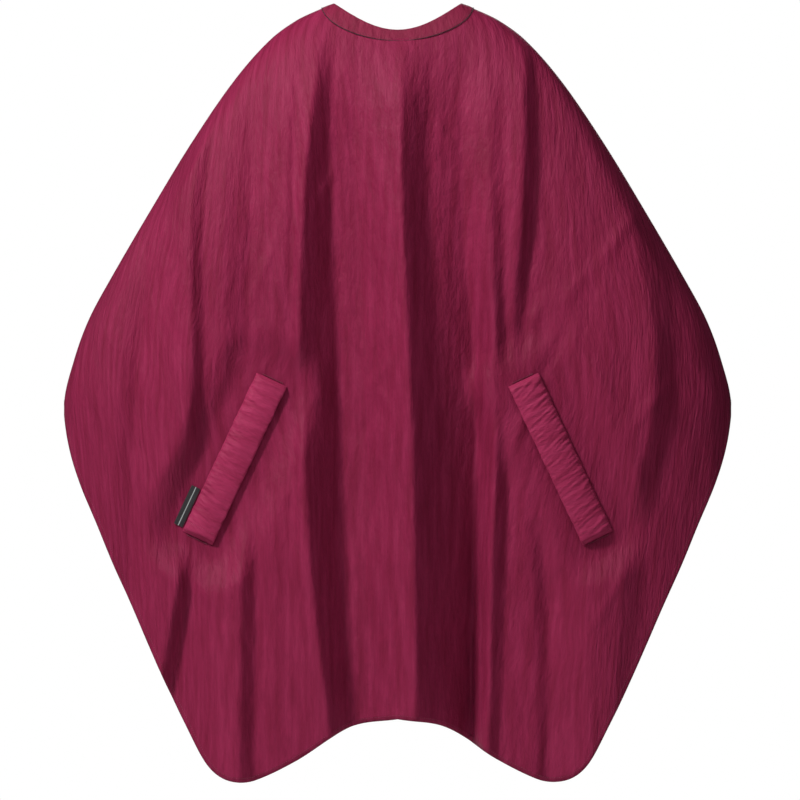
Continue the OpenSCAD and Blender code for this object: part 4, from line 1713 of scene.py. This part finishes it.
@dataclass
class SlotFacing:
    """The layer sewn round a slot on the inside, with a stitched edge."""

    shop: Workshop
    side: Side
    cloth: CapeCloth
    border: float = 0.009
    end_border: float = 0.011
    depth: float = -0.0019
    thickness: float = 0.0008
    edge_inset: float = 0.0018
    slot_inset: float = 0.0022
    stitch_depth: float = -0.0006

    def spot(self, along: float, out: float, extra: float = 0.0) -> Vector:
        """A point of the facing."""
        ripple = 0.0003 * noise.noise(Vector((along / 0.02, out / 0.01, 3.0 * self.side.value)))
        return self.shop.shape.over_front(self.side, along, out, self.depth + ripple + extra)

    def behind(self, along: float, out: float) -> Vector:
        """A point on the facing's inner face."""
        return self.spot(along, out, self.stitch_depth)

    def build(self) -> list[bpy.types.Object]:
        """Makes the facing and its stitches.

        Returns:
            The two pieces.
        """
        half_l = self.cloth.slot_length / 2 + self.end_border
        half_w = self.cloth.slot_width / 2 + self.border
        columns, rows = 88, 16
        bm = grid(
            columns,
            rows,
            lambda u, v: self.spot(mix(-half_l, half_l, u), mix(-half_w, half_w, v)),
            Vector((0, 1, 0)),
        )
        self.cloth.open_slot(bm, bm.faces)
        palette, word = self.shop.palette, self.side.word
        facing = self.shop.piece(
            f"{word}_facing", bm, palette.band, "band_cloth", "root", [f"{word}_slot_facing"],
            self.thickness,
        )
        rows_bm = bmesh.new()
        outer = (half_l - self.edge_inset, half_w - self.edge_inset)
        inner = (self.cloth.slot_length / 2 + self.slot_inset, self.cloth.slot_width / 2 + self.slot_inset)
        for a, o in (outer, inner):
            corners = [(-a, -o), (a, -o), (a, o), (-a, o), (-a, -o)]
            stitch_path(rows_bm, self.behind, corners, 60, FACING_STITCH)
        rows_piece = self.shop.piece(f"{word}_facing_stitches", rows_bm, palette.thread, "thread", "root")
        return [facing, rows_piece]


@dataclass
class SideLabel:
    """The folded woven label in the outer seam of the left welt. It carries no lettering."""

    shop: Workshop
    length: float = 0.063
    width: float = 0.014
    low: float = 0.094
    seam: float = 0.0024
    rise: float = 0.0019
    thickness: float = 0.0009

    def build(self) -> None:
        """Makes the label."""
        shape = self.shop.shape
        start = shape.welt_width / 2 + self.seam

        def spot(u: float, v: float) -> Vector:
            """A point of the label."""
            along = self.low + mix(-0.5, 0.5, u) * self.length
            curl = 0.0012 * ease(v) * (0.4 + 0.6 * math.sin(math.pi * u))
            curl += 0.0006 * v * math.sin(2.2 * math.pi * u)
            return shape.over_front(Side.LEFT, along, start + v * self.width, self.rise + curl)

        def measure(u: float, v: float) -> tuple[float, float]:
            """The label's map: across it, then along it."""
            return (v - 0.5) * self.width, u * self.length

        bm = grid(48, 12, spot, Vector((0, -1, 0)), measure)
        self.shop.piece(
            "woven_label", bm, self.shop.palette.label, "label_cloth", "label", ["side_label"],
            self.thickness, 0.0003,
        )


# ---- Staging ----


@dataclass(frozen=True)
class Lamp:
    """A soft square lamp: where it hangs, its side, and its power in watts."""

    name: str
    place: tuple[float, float, float]
    size: float
    power: float


@dataclass
class Studio:
    """A plain pale floor, soft light and a long lens at the height of the middle of the cape."""

    view_width: float = 1.2
    distance: float = 20.0
    centre: tuple[float, float] = (0.0036, -0.594)
    floor_drop: float = 0.110
    floor_size: float = 3.2
    pale: tuple[float, float, float] = (0.93, 0.93, 0.93)
    aim: tuple[float, float, float] = (0, 0, -0.5)
    fill_strength: float = 0.03
    lamps: tuple[Lamp, ...] = (
        Lamp("key", (-2.1, -1.9, 1.7), 0.5, 135),
        Lamp("front_fill", (2.6, -3.2, 0.9), 2.4, 8),
        Lamp("top_fill", (0.3, -1.3, 1.2), 0.9, 14),
        Lamp("back_light", (0.3, 4.0, 0.9), 2.0, 40),
    )

    def lamp(self, lamp: Lamp) -> None:
        """Adds a lamp that looks at the middle of the cape."""
        data = bpy.data.lights.new(lamp.name, "AREA")
        data.shape = "SQUARE"
        data.size = lamp.size
        data.energy = lamp.power
        obj = bpy.data.objects.new(lamp.name, data)
        obj.location = lamp.place
        obj.rotation_mode = "QUATERNION"
        obj.rotation_quaternion = (Vector(self.aim) - obj.location).to_track_quat("-Z", "Y")
        bpy.context.scene.collection.objects.link(obj)

    def camera(self) -> None:
        """Adds the camera, level and straight in front."""
        data = bpy.data.cameras.new("camera")
        data.sensor_width = 36
        data.lens = data.sensor_width * self.distance / self.view_width
        data.clip_end = 200
        cam = bpy.data.objects.new("camera", data)
        cam.location = (self.centre[0], -self.distance, self.centre[1])
        cam.rotation_euler = (math.radians(90), 0, 0)
        bpy.context.scene.collection.objects.link(cam)
        bpy.context.scene.camera = cam

    def floor(self) -> None:
        """Adds the floor."""
        bm = bmesh.new()
        bmesh.ops.create_grid(bm, x_segments=1, y_segments=1, size=self.floor_size / 2)
        bmesh.ops.translate(bm, verts=bm.verts, vec=(0, 0, CAD_BOX[0].z - self.floor_drop))
        mesh = bpy.data.meshes.new("floor")
        bm.to_mesh(mesh)
        bm.free()
        n = Nodes("floor_paint")
        tone = n.grain(n.coordinates(False, (1.5, 1.5, 1.5)), 2)
        pale = self.pale
        colour = n.ramp(tone, [(0.3, tuple(0.985 * c for c in pale)), (0.7, pale)])
        n.link(colour, n.shader.inputs["Base Color"])
        n.shader.inputs["Roughness"].default_value = 0.8
        mesh.materials.append(n.material)
        floor = bpy.data.objects.new("floor", mesh)
        bpy.context.scene.collection.objects.link(floor)
        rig.stage(floor)

    def sky(self) -> None:
        """Sets the pale surroundings: white behind the cape, and a weak even light on it."""
        world = bpy.data.worlds.new("studio")
        world.use_nodes = True
        tree = world.node_tree
        tree.nodes.clear()
        seen = tree.nodes.new("ShaderNodeBackground")
        seen.inputs["Color"].default_value = (1, 1, 1, 1)
        seen.inputs["Strength"].default_value = 1.0
        fill = tree.nodes.new("ShaderNodeBackground")
        fill.inputs["Color"].default_value = (0.95, 0.95, 1.0, 1)
        fill.inputs["Strength"].default_value = self.fill_strength
        path = tree.nodes.new("ShaderNodeLightPath")
        pick = tree.nodes.new("ShaderNodeMixShader")
        out = tree.nodes.new("ShaderNodeOutputWorld")
        tree.links.new(path.outputs["Is Camera Ray"], pick.inputs[0])
        tree.links.new(fill.outputs[0], pick.inputs[1])
        tree.links.new(seen.outputs[0], pick.inputs[2])
        tree.links.new(pick.outputs[0], out.inputs["Surface"])
        bpy.context.scene.world = world

    def build(self) -> None:
        """Sets up the whole studio."""
        self.camera()
        self.floor()
        self.sky()
        for lamp in self.lamps:
            self.lamp(lamp)
        bpy.context.scene.view_settings.view_transform = "Standard"


def dress_hardware(palette: Palette) -> None:
    """Gives the snaps and the hidden inner pieces their finishes.

    Args:
        palette: the materials.
    """
    finishes = {
        "snap_studs": palette.snap, "stud_backs": palette.snap, "snap_caps": palette.snap,
        "snap_sockets": palette.snap, "tab_interfacing": palette.felt,
        "left_welt_elastic": palette.elastic, "right_welt_elastic": palette.elastic,
    }
    for name, material in finishes.items():
        node = frame["nodes"][name]
        node.data.materials.clear()
        node.data.materials.append(material)
        LOG.info("%s: finished as %s", name, material.name)


def main() -> None:
    """Builds every piece of the cape and its studio."""
    logging.basicConfig(level=logging.INFO, format="%(name)s %(message)s")
    shop = Workshop(CapeShape(), Palette.build())
    Studio().build()
    cloth = CapeCloth(shop)
    cloth.build()
    hems = Hems(shop)
    hems.build()
    Neckband(shop).build()
    NeckTab(shop).build()
    sewn = list(hems.pieces)
    for side in Side:
        sewn += HandWelt(shop, side).build()
        sewn += SlotFacing(shop, side, cloth).build()
    SideLabel(shop).build()
    cloth.declare(sewn)
    dress_hardware(shop.palette)
    low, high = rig.bounds()
    sizes = {"cad": [list(CAD_BOX[0]), list(CAD_BOX[1])], "visual": [list(low), list(high)]}
    with open("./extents.json", "w", encoding="utf-8") as out:
        json.dump(sizes, out)


if __name__ == "__main__":
    main()
